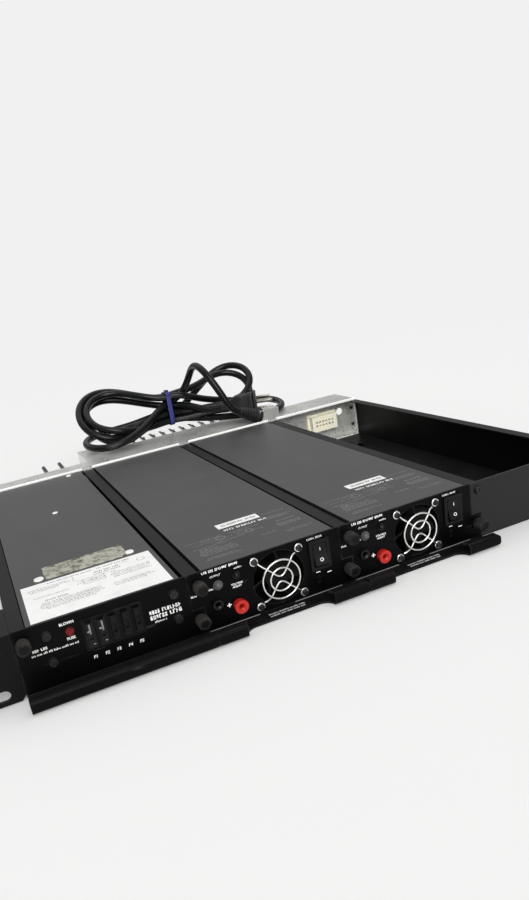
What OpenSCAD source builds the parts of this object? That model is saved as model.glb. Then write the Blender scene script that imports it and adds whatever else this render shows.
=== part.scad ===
// One-unit rack power shelf: four bays holding a fuse module, two fan-cooled rectifier
// modules and a blank panel, with a galvanised connector channel and cord box behind.
// X runs across the front, Y to the back, Z up. Millimetres.

/* [Rack ears] */
// Width over the two rack ears
rack_w = 482.6; // [476:0.1:490]
// Distance between the left and right rack slots
slot_spacing_x = 465.1; // [462:0.1:468]
// Distance between the lower and upper slot of one ear
slot_spacing_z = 31.75; // [26:0.05:32]
// Length of a rack slot
slot_l = 10.3; // [8:0.1:11]
// Width of a rack slot
slot_w = 6.8; // [5.5:0.1:7.2]
// Thickness of the ear brackets
ear_t = 2; // [1.5:0.1:2.5]
// Depth of the ear's flange along the side wall
ear_side_d = 38; // [30:1:60]
// Depth of the ear's top flange
ear_top_d = 36; // [20:1:50]

/* [Shelf tray] */
// Distance from one bay to the next
bay_pitch = 107.95; // [106:0.05:109]
// Width of the tray outside the first and last bay
side_margin = 3.5; // [3:0.1:4]
// Depth of the tray behind the front panels
tray_d = 328.5; // [260:1:380]
// Thickness of the tray and divider sheet
tray_t = 1.2; // [1:0.1:1.5]
// Height of the side walls and dividers
wall_h = 42.2; // [41:0.1:42.6]
// Width of the flange folded in along the side walls
wall_flange_w = 9.2; // [7:0.1:9.6]
// Width of a divider
divider_w = 9.3; // [9:0.1:10]

/* [Modules] */
// Gap between a module case and the divider on its left
case_clear = 1.75; // [1.2:0.05:2]
// Gap between a module case and the divider on its right
case_clear_right = 3.4; // [2.6:0.1:4]
// Height of a module case
case_h = 42.2; // [42:0.1:42.8]
// Gap between the back of a module case and the end of the tray
case_back_gap = 3; // [2:0.1:6]
// Thickness of the module sheet
case_t = 1; // [0.8:0.1:1.1]
// Clearance under a module
glide = 0.3; // [0.2:0.05:0.5]
// Thickness of the front panels
panel_t = 1.2; // [1:0.1:1.5]
// Gap between neighbouring front panels
panel_gap = 0.6; // [0.4:0.1:1]
// Sideways step of a panel's edge where its lower tab carries the thumbscrew
panel_step = 4.1; // [3:0.1:5]
// Height at which a panel's edge steps
step_z = 19.7; // [18.5:0.1:22]

/* [Pull lip] */
// Reach of the pull lip in front of the panel
lip_d = 20; // [16:0.5:26]
// Height of the pull lip
lip_h = 8.6; // [7:0.1:10]
// Depth of the flange returned at the top of the lip
lip_return = 5.6; // [4:0.1:7]
// Outer bend radius of the front panel sheet
bend_r = 2.4; // [1.8:0.1:2.8]
// Ledge left in front of a fan
fan_ledge = 11.5; // [8:0.5:13]

/* [Fan] */
// Side of the square fan
fan_size = 40; // [39:0.1:40.1]
// Depth of the fan
fan_d = 20; // [15:1:25]
// Spacing of the fan's screws
fan_hole_pitch = 32; // [31:0.1:32.5]
// Radius of the fan's air passage
fan_bore_r = 18.4; // [17:0.1:18.6]
// Radius of the rotor's hub
hub_r = 8.6; // [7:0.1:10]
// Number of blades
blade_count = 7; // [5:1:9]
// Diameter of the guard wire
wire_d = 1.6; // [1.2:0.1:2]
// Radius of the guard's outer ring
ring_r = 16.2; // [15:0.1:17]
// Radius of the guard's inner ring
ring_in_r = 9; // [7:0.1:11]

/* [Controls] */
// Radius of a thumbscrew's head
thumb_r = 5.5; // [5:0.1:6]
// Length of a thumbscrew's head
thumb_l = 8; // [6:0.5:10]
// Radius of a thumbscrew's shank
thumb_shank_r = 2; // [1.6:0.1:2.2]
// Width of the switch opening
switch_w = 13; // [12:0.1:14]
// Height of the switch opening
switch_h = 19; // [18:0.1:20]
// Radius of the test jack's collar
jack_r = 4.6; // [3.6:0.1:5]

/* [Fuse block] */
// Distance from one fuse to the next
fuse_pitch = 7.25; // [7:0.05:7.5]
// Width of a fuse
fuse_w = 5.6; // [5:0.1:5.8]
// Height of a fuse
fuse_h = 18; // [16:0.5:19]
// Length of a fuse
fuse_l = 26; // [22:0.5:30]

/* [Rear] */
// Depth of the connector channel
channel_d = 17.2; // [16.5:0.1:24]
// Depth of the cord box behind the channel
box_d = 72.8; // [60:1:90]
// Depth of the plate that carries on past the cord box
wing_d = 33; // [20:1:45]
// Thickness of the galvanised sheet
zinc_t = 1.2; // [1:0.1:1.5]
// Width of a ventilation slot
vent_w = 9; // [6:0.5:10]
// Distance from one ventilation slot to the next
vent_pitch = 12.6; // [12:0.1:13]
// Width of a connector's nose
plug_w = 33; // [31:0.5:34]
// Height of a connector's nose
plug_h = 18; // [17:0.5:20]

/* [Cord] */
// Diameter of the power cord
cord_d = 8; // [7:0.1:8.4]

/* [Hidden] */
$fn = 48;

paint = [0.10, 0.10, 0.11];
plastic = [0.05, 0.05, 0.06];
zinc = [0.72, 0.73, 0.74];
cream = [0.86, 0.84, 0.72];
eps = 0.01;

// Bays and heights
bay_count = 4;
fit = 0.3;
edge_gap = 0.6;
body_w = bay_count * bay_pitch + 2 * side_margin;
tray_y = panel_t + fit;
rear_y = tray_y + tray_d;
case_z = tray_t + glide;
case_top = case_z + case_h;
ledge_z = 0.2;
panel_top = case_top;
web_y = rear_y + channel_d - zinc_t;
channel_top = case_top - fit;
box_y = rear_y + channel_d;
back_y = box_y + box_d;
front_y = -(back_y - lip_d) / 2;
case_w = bay_pitch - divider_w - case_clear - case_clear_right;
case_side = divider_w / 2 + case_clear;
case_d = rear_y - panel_t - case_back_gap;
screw_r = 1.8;
screw_hole_r = 1.9;
screw_head_r = 3.2;
screw_head_l = 1.8;

// Features on the front panels, measured from a bay's left edge and from the floor
thumb_z = 12.8;
thumb_left_at = [2.4, 35];
fan_at = [57, case_z + case_t + fan_size / 2 + 0.2];
switch_at = [87.7, 29.2];
dome_at = [15.2, 31.3];
dark_lamp_at = [28.2, 34];
pair_x = 85.2;
pair_z = [13.3, 9.7];
red_jack_at = [27.2, 13];
black_jack_at = [12.4, 19];
lip_cut = [23.3, 85.3];
lip_cut_r = 8;
fuse_x = 40.3;
fuse_z = 27.4;
fuse_lamp_at = [29.4, 33.7];
fuse_screw_x = [16, 94.2];
fuse_screw_z = [17.8, 34.9];
cover_rivets = [[22.7, 66.3], [85.4, 66.3], [55, 204]];
connector_at = [70.6, 22.5];

// Thumbscrew, its bush and the hole that takes its shank
thumb_gap = 1.4;
thumb_reach = 8.5;
bush_r = 3.4;
thumb_hole_r = thumb_shank_r + 0.06;

// Fan parts behind the panel
fan_wall = 2.4;
strut_w = 2.2;
shaft_r = 1.5;
shaft_hole_r = 1.56;
hub_gap = 0.8;
tip_gap = 0.7;
guard_y = -5.6;
bend_in = 7;
eye_r = 2.7;

// Rocker switch
bezel_over = 1;
bezel_t = 1.5;
switch_d = 17;
rocker_w = 9.6;
rocker_h = 15.6;
rocker_tilt = 9;
rocker_pin_r = 1;
rocker_pin_hole_r = 1.06;
pivot_y = 3;

// Connectors
nose_l = 6.5;
flange_over = 3;
flange_t = 1.5;
pin_rows = 2;
pin_cols = 6;
pin_pitch = 4.2;
pin_r = 0.8;
socket_r = 1.4;
pin_l = 5.5;
socket_l = 8;
web_clear = 0.5;

// Cord route and hank
hood_x = 95;
hood_w = 23;
hood_h = 13.6;
relief_l = 24;
relief_tilt = 25;
relief_z = channel_top + 6.9;
relief_y = rear_y + 8.5;
hank_z = channel_top + 1;
hank_h = 40;
hank_y = rear_y + 79;
hank_left = [-60, 37];
hank_right = [80, 27];
hank_right_y = 8;
waist_x = 12;
waist_r = 15.5;
tie_w = 5;
tie_t = 0.9;
plug_turn = -26;
plug_at = [68, rear_y + 48, channel_top + 18.8];
plug_lead_l = 40;
cord_route = [[73.4, 8.5, 60.4], [69.5, 8.6, 62.3], [65, 9.4, 65.8], [60.5, 11, 71.5],
    [57.5, 13, 79], [55.5, 16, 88], [53.5, 19.5, 97], [50.5, 24.5, 106.5], [46.5, 31.5, 113.5],
    [41.5, 40, 117.2], [36.5, 49, 117.2], [31.5, 57, 113], [27.5, 64, 106], [25, 68.5, 97],
    [24.2, 70, 90], [24, 70.2, 84.4]];

function bay_x(i) = (i - bay_count / 2) * bay_pitch;

// ---- shared shapes ----

// Moves a piece from panel coordinates to the part's frame
module in_frame() translate([0, front_y, 0]) children();

// Draws an x-z outline as a plate that starts at y0 and is t thick
module plate_y(y0, t) translate([0, y0 + t, 0]) rotate([90, 0, 0]) linear_extrude(t) children();

// Draws a y-z section as a bar that starts at x0 and is l long
module bar_x(x0, l) translate([x0, 0, 0]) rotate([90, 0, 90]) linear_extrude(l) children();

module rod_y(x, z, y0, l, r) translate([x, y0, z]) rotate([-90, 0, 0]) cylinder(h = l, r = r);

module rod_x(x0, y, z, l, r) translate([x0, y, z]) rotate([0, 90, 0]) cylinder(h = l, r = r);

module block(x, y, z) translate([x[0], y[0], z[0]]) cube([x[1] - x[0], y[1] - y[0], z[1] - z[0]]);

// A quarter of a bent sheet, in the quadrant given by sx and sy
module bend(c, r, t, sx, sy) translate(c) intersection() {
    difference() { circle(r); circle(r - t); }
    translate([sx > 0 ? 0 : -r, sy > 0 ? 0 : -r]) square(r);
}

module slot_outline(l, w) {
    square([l - w, w], center = true);
    for (s = [-1, 1]) translate([s * (l - w) / 2, 0]) circle(d = w);
}

module round_rect(w, h, r) {
    square([w - 2 * r, h], center = true);
    square([w, h - 2 * r], center = true);
    for (sx = [-1, 1], sy = [-1, 1]) translate([sx * (w / 2 - r), sy * (h / 2 - r)]) circle(r);
}

// Pan-head screw that points along +Y, its head's underside at y = 0
module screw_y(l) {
    rotate([-90, 0, 0]) cylinder(h = l, r = screw_r);
    difference() {
        rotate([90, 0, 0]) cylinder(h = screw_head_l, r1 = screw_head_r, r2 = screw_head_r - 0.7);
        for (a = [0, 90]) rotate([0, a, 0])
            translate([-screw_head_r * 0.6, -screw_head_l - eps, -0.35])
                cube([screw_head_r * 1.2, 0.9, 0.7]);
    }
}

// Knurled captive thumbscrew, its panel's front face at y = 0
module thumbscrew() {
    difference() {
        union() {
            rod_y(0, 0, -thumb_gap - thumb_l, thumb_l - 0.8, thumb_r);
            rod_y(0, 0, -thumb_gap - 0.8 - eps, 0.8, thumb_r - 0.8);
            rod_y(0, 0, -thumb_gap - eps, thumb_gap + thumb_reach, thumb_shank_r);
        }
        for (a = [0 : 15 : 345]) rotate([0, a, 0]) translate([thumb_r, -thumb_gap - thumb_l + 1, 0])
            rotate([0, 45, 0]) translate([-0.32, 0, -0.32]) cube([0.64, thumb_l - 2.4, 0.64]);
        translate([-thumb_r, -thumb_gap - thumb_l - eps, -0.5]) cube([2 * thumb_r, 1.2, 1]);
    }
}

// ---- shelf ----

module shelf_tray() in_frame() color(paint) difference() {
    union() {
        block([-body_w / 2, body_w / 2], [tray_y, rear_y], [0, tray_t]);
        for (s = [-1, 1]) mirror([s < 0 ? 1 : 0, 0, 0]) {
            block([body_w / 2 - tray_t, body_w / 2], [tray_y, box_y], [0, wall_h]);
            block([body_w / 2 - wall_flange_w, body_w / 2], [tray_y, rear_y],
                [wall_h - tray_t, wall_h]);
            block([body_w / 2 - wall_flange_w, body_w / 2], [tray_y, tray_y + tray_t], [0, wall_h]);
        }
        earth_finger(bay_x(bay_count - 1) + 80);
    }
    for (s = [-1, 1], y = ear_screw_y, z = ear_screw_z)
        rod_x(s * body_w / 2 - 3, y, z, 6, screw_hole_r);
    for (s = [-1, 1], z = end_screw_z) rod_x(s * body_w / 2 - 3, end_screw_y, z, 6, screw_hole_r);
    rod_y(bay_x(0) + thumb_left_at[0], thumb_left_at[1], 0, 10, thumb_hole_r);
    for (z = blank_screw_z) rod_y(blank_right_x, z, 0, 10, screw_hole_r);
}

ear_screw_y = [tray_y + 8.5, tray_y + 26.5];
ear_screw_z = [12, 32];
end_screw_y = (rear_y + box_y) / 2;
end_screw_z = [12, 32];

// Finger lanced up from the empty bay's floor, which earths a module's case
module earth_finger(x) translate([x, 0, 0]) bar_x(0, 6) polygon([[278, tray_t - 0.2],
    [287, tray_t - 0.2], [287, tray_t + 0.4], [283, tray_t + 3], [279, tray_t + 4],
    [278.6, tray_t + 3.2], [282, tray_t + 2.2], [285, tray_t + 0.2]]);

module bay_dividers() in_frame() color(paint)
    for (i = [1 : bay_count - 1]) translate([bay_x(i), 0, 0]) divider(i == bay_count - 1);

// Upside-down channel with a closed front that takes the thumbscrew
module divider(beside_blank) difference() {
    block([-divider_w / 2, divider_w / 2], [tray_y, rear_y - fit], [tray_t, wall_h]);
    block([-divider_w / 2 + tray_t, divider_w / 2 - tray_t], [tray_y + tray_t, rear_y],
        [0, wall_h - tray_t]);
    rod_y(0, thumb_z, 0, 10, thumb_hole_r);
    if (beside_blank) rod_y(blank_left_dx, blank_screw_z[1], 0, 10, screw_hole_r);
    else rod_y(thumb_left_at[0], thumb_left_at[1], 0, 10, thumb_hole_r);
}

module left_ear() in_frame() color(paint) mirror([1, 0, 0]) ear();

module right_ear() in_frame() color(paint) ear();

slot_z0 = (case_top + tray_t) / 2 - slot_spacing_z / 2;
ear_z = [0.3, wall_h + 1.2];
ear_chamfer = 3;

module ear() difference() {
    union() {
        plate_y(0, ear_t) polygon([[body_w / 2 + ear_chamfer, ear_z[0]], [rack_w / 2 - 1, ear_z[0]],
            [rack_w / 2, ear_z[0] + 1], [rack_w / 2, ear_z[1] - 1], [rack_w / 2 - 1, ear_z[1]],
            [body_w / 2, ear_z[1]], [body_w / 2, ear_z[0] + ear_chamfer]]);
        block([body_w / 2, body_w / 2 + ear_t], [eps, ear_side_d],
            [ear_z[0] + ear_chamfer, ear_z[1]]);
        block([body_w / 2, rack_w / 2 - 4], [eps, ear_top_d], [ear_z[1] - ear_t, ear_z[1]]);
    }
    for (k = [0, 1]) translate([slot_spacing_x / 2, ear_t + 1, slot_z0 + k * slot_spacing_z])
        rotate([90, 0, 0]) linear_extrude(ear_t + 2) slot_outline(slot_l, slot_w);
    for (y = ear_screw_y, z = ear_screw_z) rod_x(body_w / 2 - 3, y, z, 8, screw_hole_r);
}

// Screws of the ears, of the channel's ends and of the blank panel
module shelf_screws() in_frame() color(plastic) {
    for (s = [-1, 1]) mirror([s < 0 ? 1 : 0, 0, 0]) {
        for (y = ear_screw_y, z = ear_screw_z)
            translate([body_w / 2 + ear_t, y, z]) rotate([0, 0, 90]) screw_y(ear_t + tray_t + 2);
        for (z = end_screw_z)
            translate([body_w / 2, end_screw_y, z]) rotate([0, 0, 90]) screw_y(tray_t + zinc_t + 2);
    }
    translate([bay_x(bay_count - 1) + blank_left_dx, 0, blank_screw_z[1]]) screw_y(panel_t + 3);
    for (z = blank_screw_z) translate([blank_right_x, 0, z]) screw_y(panel_t + 3);
}

blank_left_dx = 2.6;
blank_screw_z = [9, 37.4];
blank_right_x = body_w / 2 - wall_flange_w / 2 - 0.6;

// Flat panel over the empty bay, stepped round the neighbour's thumbscrew tab
module blank_panel() in_frame() color([0.13, 0.13, 0.13]) difference() {
    plate_y(0, panel_t) difference() {
        translate([upper_left(bay_count - 1), 1.8])
            square([body_w / 2 - edge_gap - upper_left(bay_count - 1), panel_top - 1.8]);
        translate([upper_left(bay_count - 1) - 1, 0])
            square([2 * panel_step + 1, step_z + panel_gap / 2]);
        corner_cut([upper_left(bay_count - 1), panel_top], 3);
    }
    translate([bay_x(bay_count - 1) + blank_left_dx, 0, 0])
        rod_y(0, blank_screw_z[1], -1, panel_t + 2, screw_hole_r);
    for (z = blank_screw_z) rod_y(blank_right_x, z, -1, panel_t + 2, screw_hole_r);
}

// What a round top-left corner takes away
module corner_cut(p, r) difference() {
    translate([p[0] - 1, p[1] - r]) square([r + 1, r + 1]);
    translate([p[0] + r, p[1] - r]) circle(r);
}

// ---- rear ----

// C-shaped channel across the back that carries the bay connectors, with the cord hood
module rear_channel() in_frame() color(zinc) difference() {
    union() {
        block([-channel_end, channel_end], [rear_y, box_y], [0, zinc_t]);
        block([-channel_end, channel_end], [web_y, box_y], [0, channel_top]);
        block([-body_w / 2, body_w / 2], [rear_y, box_y], [channel_top - zinc_t, channel_top]);
        block([-body_w / 2, box_left - fit], [box_y - eps, box_y + left_wing_d],
            [channel_top - zinc_t, channel_top]);
        for (s = [-1, 1]) mirror([s < 0 ? 1 : 0, 0, 0])
            block([channel_end - zinc_t, channel_end], [rear_y, box_y], [0, channel_top - zinc_t]);
        cord_hood();
    }
    for (i = [0 : bay_count - 1]) translate([bay_x(i) + connector_at[0], 0, connector_at[1]]) {
        block([-plug_w / 2 - web_clear, plug_w / 2 + web_clear], [web_y - 1, box_y + 1],
            [-plug_h / 2 - web_clear, plug_h / 2 + web_clear]);
        rod_y(25.4, 6.6, web_y - 1, zinc_t + 2, 4.2);
    }
    for (s = [-1, 1], z = end_screw_z)
        rod_x(s * body_w / 2 - 5, end_screw_y, z, 10, screw_hole_r);
    rod_x(hood_x - 1, relief_y, relief_z, zinc_t + 2, relief_neck_r + 0.1);
}

relief_neck_r = cord_d / 2 + 1;

channel_end = body_w / 2 - tray_t - 0.1;
left_wing_d = 12.8;

// Raised hood on the channel that the power cord enters from the side
module cord_hood() difference() {
    block([hood_x, hood_x + hood_w], [rear_y + 1, web_y], [channel_top - eps, channel_top + hood_h]);
    block([hood_x + zinc_t, hood_x + hood_w - zinc_t], [rear_y + 1 + zinc_t, web_y - zinc_t],
        [channel_top - 1, channel_top + hood_h - zinc_t]);
}

// Cord box behind the two rectifier bays, with slots cut over its top back edge
module rear_box() in_frame() color(zinc) difference() {
    union() {
        difference() {
            block([box_left, box_right], [box_y, back_y], [0, channel_top]);
            block([box_left + zinc_t, box_right - zinc_t], [box_y - 1, back_y - zinc_t],
                [zinc_t, channel_top - zinc_t]);
        }
        block([box_right - eps, body_w / 2], [box_y, box_y + wing_d],
            [channel_top - zinc_t, channel_top]);
    }
    for (k = [0 : vent_count - 1])
        block([vent_x + k * vent_pitch, vent_x + k * vent_pitch + vent_w],
            [back_y - vent_top_d, back_y + 1], [channel_top - vent_back_h, channel_top + 1]);
}

box_left = -102;
box_right = 108;
vent_count = 12;
vent_x = -58;
vent_top_d = 8;
vent_back_h = 13;

// Row of cream receptacles, one to a bay, that the modules plug into
module bay_connectors() in_frame() color(cream)
    for (i = [0 : bay_count - 1]) translate([bay_x(i) + connector_at[0], 0, connector_at[1]])
        receptacle();

module receptacle() difference() {
    union() {
        block([-plug_w / 2, plug_w / 2], [web_y - flange_t - nose_l, box_y + 6],
            [-plug_h / 2, plug_h / 2]);
        block([-plug_w / 2 - flange_over, plug_w / 2 + flange_over],
            [web_y - flange_t, web_y], [-plug_h / 2 - 2, plug_h / 2 + 2]);
    }
    pin_field() rod_y(0, 0, web_y - flange_t - nose_l - 1, socket_l + 1, socket_r);
}

module pin_field() for (c = [0 : pin_cols - 1], r = [0 : pin_rows - 1])
    translate([(c - (pin_cols - 1) / 2) * pin_pitch, 0, (r - (pin_rows - 1) / 2) * pin_pitch])
        children();

// Two-pole terminal block for the direct-current output, high up behind the fuse bay
module output_terminals() in_frame() color(plastic) {
    x0 = bay_x(0) + 56;
    difference() {
        union() {
            block([x0, x0 + 48], [box_y, box_y + 3], [32.4, 41.9]);
            block([x0 + 4, x0 + 44], [box_y, box_y + 12], [33, 41.7]);
            for (x = terminal_x) rod_y(x, terminal_z, box_y + 11, 44, terminal_r);
            for (x = terminal_x) translate([x, box_y + 15, terminal_z]) rotate([-90, 0, 0])
                cylinder(h = 3.2, r = 3.3, $fn = 6);
        }
        translate([(terminal_x[0] + terminal_x[1]) / 2, 0, 0])
            block([-1.5, 1.5], [box_y + 5, box_y + 13], [32, 43]);
    }
}

terminal_x = [bay_x(0) + 71, bay_x(0) + 89];
terminal_z = 39.2;
terminal_r = 2;

// ---- power cord ----

// Moulded strain relief, clamped in the hood's side and leaning up with the cord
module strain_relief() in_frame() color(plastic) difference() {
    union() {
        intersection() {
            translate([hood_x, relief_y, relief_z]) rotate([0, relief_tilt - 90, 0])
                translate([0, 0, -4]) cylinder(h = relief_l + 4, r1 = relief_neck_r + 0.8,
                    r2 = cord_d / 2 + 0.7);
            block([0, hood_x], [tray_y, back_y], [channel_top, channel_top + hood_h + relief_l]);
        }
        rod_x(hood_x - eps, relief_y, relief_z, zinc_t + 0.4, relief_neck_r);
        rod_x(hood_x + zinc_t + 0.2, relief_y, relief_z, 2, relief_neck_r + 0.4);
    }
    rod_x(hood_x - 3, relief_y, relief_z, 20, cord_d / 2 - 0.6);
}

function unit(v) = v / norm(v);
function tangent(p, i) = unit(p[min(i + 1, len(p) - 1)] - p[max(i - 1, 0)]);
function carried(n, t) = unit(n - t * (n * t));
function normals(p, i = 0, n = [0, 0, 1]) = i == len(p) ? [] :
    let (m = carried(n, tangent(p, i))) concat([m], normals(p, i + 1, m));
function ring(p, n, i, r, sides) = let (t = tangent(p, i), b = cross(t, n[i]))
    [for (k = [0 : sides - 1]) p[i] + r * (cos(k * 360 / sides) * n[i] + sin(k * 360 / sides) * b)];

// One tube swept along a route
module tube(p, r, sides = 10) {
    n = normals(p);
    rings = len(p);
    polyhedron(
        points = [for (i = [0 : rings - 1]) each ring(p, n, i, r, sides)],
        faces = concat([[for (k = [sides - 1 : -1 : 0]) k]],
            [[for (k = [0 : sides - 1]) (rings - 1) * sides + k]],
            [for (i = [0 : rings - 2], k = [0 : sides - 1])
                [i * sides + k, i * sides + (k + 1) % sides,
                    (i + 1) * sides + (k + 1) % sides, (i + 1) * sides + k]]));
}

module power_cord() in_frame() color(plastic) translate([0, rear_y, 0])
    tube(cord_route, cord_d / 2);

// Outer shape of the tied hank, narrow at the tie
module cord_hank() in_frame() color(plastic) {
    translate([0, hank_y, hank_z]) linear_extrude(hank_h) {
        translate([hank_left[0], 0]) circle(hank_left[1]);
        translate([hank_right[0], hank_right_y]) circle(hank_right[1]);
        polygon([[hank_left[0], -hank_left[1]], [waist_x - tie_w, -waist_r],
            [waist_x + tie_w, -waist_r], [hank_right[0], hank_right_y - hank_right[1]],
            [hank_right[0], hank_right_y + hank_right[1]],
            [waist_x + tie_w, waist_r], [waist_x - tie_w, waist_r], [hank_left[0], hank_left[1]]]);
    }
    translate(plug_at) rotate([0, 0, plug_turn]) rod_x(-plug_lead_l, 0, 0, plug_lead_l + 0.3, cord_d / 2);
}

module cord_tie() in_frame() color([0.1, 0.14, 0.6]) difference() {
    block([waist_x - tie_w / 2, waist_x + tie_w / 2],
        [hank_y - waist_r - tie_t, hank_y + waist_r + tie_t],
        [hank_z - tie_t, hank_z + hank_h + tie_t]);
    block([waist_x - tie_w, waist_x + tie_w], [hank_y - waist_r, hank_y + waist_r],
        [hank_z, hank_z + hank_h]);
}

// Three-pin mains plug lying in front of the hank, on the end of the cord's last run
module cord_plug() in_frame() color(plastic) translate(plug_at) rotate([0, 0, plug_turn]) {
    rotate([0, 90, 0]) cylinder(h = 13, r1 = cord_d / 2 + 0.6, r2 = cord_d / 2 + 2.5);
    translate([12, 0, 0]) rotate([90, 0, 90]) linear_extrude(26) round_rect(25, 21, 6);
    translate([38, 0, 0]) rotate([90, 0, 90]) linear_extrude(3) round_rect(27, 23, 7);
    for (s = [-1, 1]) translate([40, s * 6.35 - 0.75, 0]) cube([17, 1.5, 6.3]);
    rod_x(40, 0, -6.5, 20, 2.4);
}

// ---- module cases ----

// Section of a front panel: plate, ledge, lip and the flange returned at its top
module panel_section(top) {
    z1 = ledge_z + bend_r;
    z2 = ledge_z + lip_h - bend_r;
    y1 = -lip_d + bend_r;
    translate([0, z1]) square([panel_t, top - z1]);
    bend([panel_t - bend_r, z1], bend_r, panel_t, 1, -1);
    translate([y1, ledge_z]) square([panel_t - bend_r - y1, panel_t]);
    bend([y1, z1], bend_r, panel_t, -1, -1);
    translate([-lip_d, z1]) square([panel_t, z2 - z1]);
    bend([y1, z2], bend_r, panel_t, -1, 1);
    translate([y1, ledge_z + lip_h - panel_t]) square([lip_return - bend_r, panel_t]);
}

function panel_left(i) = i == 0 ? edge_gap - body_w / 2 : bay_x(i) + panel_step + panel_gap / 2;
function panel_right(i) = bay_x(i + 1) + panel_step - panel_gap / 2;
function upper_left(i) = i == 0 ? edge_gap - body_w / 2 : bay_x(i) - panel_step + panel_gap / 2;
function upper_right(i) = bay_x(i + 1) - panel_step - panel_gap / 2;

// Folded front panel of the module in bay i, before its holes
module folded_front(i) {
    bar_x(panel_left(i), panel_right(i) - panel_left(i)) panel_section(step_z);
    translate([bay_x(i), 0, 0]) for (p = [thumb_left_at, [bay_pitch, thumb_z]])
        rod_y(p[0], p[1], fit - thumb_gap, thumb_gap - fit + eps, bush_r);
    difference() {
        plate_y(0, panel_t) translate([upper_left(i), step_z - (i == 0 ? 0.5 : 0)])
            square([upper_right(i) - upper_left(i), panel_top - step_z + (i == 0 ? 0.5 : 0)]);
        if (i > 0) plate_y(-1, panel_t + 2) {
            translate([upper_left(i) - 1, step_z - 1])
                square([panel_left(i) - upper_left(i) + 1, 1 + panel_gap / 2]);
            corner_cut([upper_left(i), panel_top], 2.5);
        }
    }
}

// Bottom, rear wall and low side flanges of a case, in bay coordinates
module case_chassis() {
    x0 = case_side + case_t;
    x1 = case_side + case_w - case_t;
    y1 = panel_t + case_d;
    block([x0, x1], [panel_t, y1], [case_z, case_z + case_t]);
    block([x0, x1], [y1 - case_t, y1], [case_z, case_top - case_t]);
    for (x = [x0, x1 - case_t]) block([x, x + case_t], [panel_t + 24, y1], [case_z, case_z + 9]);
    plug_frame_x = connector_at[0];
    block([plug_frame_x - 20, plug_frame_x + 20], [y1 - 14, y1], [case_z, case_z + case_t]);
}

// Top and sides of a case, in bay coordinates
module case_cover() {
    block([case_side, case_side + case_w], [panel_t, panel_t + case_d],
        [case_top - case_t, case_top]);
    for (x = [case_side, case_side + case_w - case_t])
        block([x, x + case_t], [panel_t, panel_t + case_d], [case_z, case_top]);
}

// Opening in a case's rear wall for its plug
module plug_opening() translate([connector_at[0], 0, connector_at[1]])
    block([-plug_w / 2 + 1.6, plug_w / 2 - 1.6], [panel_t + case_d - 5, panel_t + case_d + 1],
        [-plug_h / 2 + 1.6, plug_h / 2 - 1.6]);

// Plug with round pins on a case's rear wall, in bay coordinates
module case_plug() translate([connector_at[0], 0, connector_at[1]]) {
    y0 = panel_t + case_d;
    y1 = web_y - flange_t - nose_l - fit;
    block([-plug_w / 2, plug_w / 2], [y0, y1], [-plug_h / 2, plug_h / 2]);
    block([-plug_w / 2 + 1.8, plug_w / 2 - 1.8], [y0 - 9, y0 + eps],
        [-plug_h / 2 + 1.8, plug_h / 2 - 1.8]);
    pin_field() rod_y(0, 0, y1 - eps, pin_l + fit, pin_r);
}

// ---- fuse module ----

module fuse_front() in_frame() color(plastic) difference() {
    folded_front(0);
    translate([bay_x(0), 0, 0]) {
        rod_y(thumb_left_at[0], thumb_left_at[1], -3, panel_t + 4, thumb_hole_r);
        rod_y(bay_pitch, thumb_z, -3, panel_t + 4, thumb_hole_r);
        rod_y(fuse_lamp_at[0], fuse_lamp_at[1], -1, panel_t + 2, 2.6);
        for (x = fuse_screw_x, z = fuse_screw_z) rod_y(x, z, -1, panel_t + 2, screw_hole_r);
        block([fuse_x - fuse_pitch / 2 - 0.2, fuse_x + 4.5 * fuse_pitch + 0.2],
            [-1, panel_t + 1], [fuse_z - fuse_h / 2 - 1.2, fuse_z + fuse_h / 2 + 1.2]);
    }
}

module fuse_chassis() in_frame() color(paint) translate([bay_x(0), 0, 0]) difference() {
    union() {
        case_chassis();
        for (x = fuse_screw_x)
            block([max(x - 6, case_side + case_t), min(x + 6, case_side + case_w - case_t)],
                [panel_t, panel_t + case_t], [case_z, 41]);
    }
    plug_opening();
    for (x = fuse_screw_x, z = fuse_screw_z) rod_y(x, z, 0, 5, screw_hole_r);
}

module fuse_cover() in_frame() color([0.3, 0.3, 0.31]) translate([bay_x(0), 0, 0]) difference() {
    case_cover();
    for (p = cover_rivets) translate([p[0], p[1], case_top - 3]) cylinder(h = 6, r = 1.6);
}

// Five-way fuse block with a raised bezel, in bay coordinates
module fuse_block() in_frame() color(plastic) translate([bay_x(0), 0, 0]) difference() {
    union() {
        block([fuse_x - fuse_pitch / 2 - 0.1, fuse_x + 4.5 * fuse_pitch + 0.1],
            [-1.2, fuse_l + 3], [fuse_z - fuse_h / 2 - 1.1, fuse_z + fuse_h / 2 + 1.1]);
        block([fuse_x - fuse_pitch / 2 - 3, fuse_x + 4.5 * fuse_pitch + 3],
            [panel_t, panel_t + 3], [fuse_z - fuse_h / 2 - 3, fuse_z + fuse_h / 2 + 3]);
    }
    for (k = [0 : 4]) translate([fuse_x + k * fuse_pitch, 0, fuse_z])
        block([-fuse_w / 2 - 0.2, fuse_w / 2 + 0.2], [-2, fuse_l - 2],
            [-fuse_h / 2 - 0.2, fuse_h / 2 + 0.2]);
}

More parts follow.
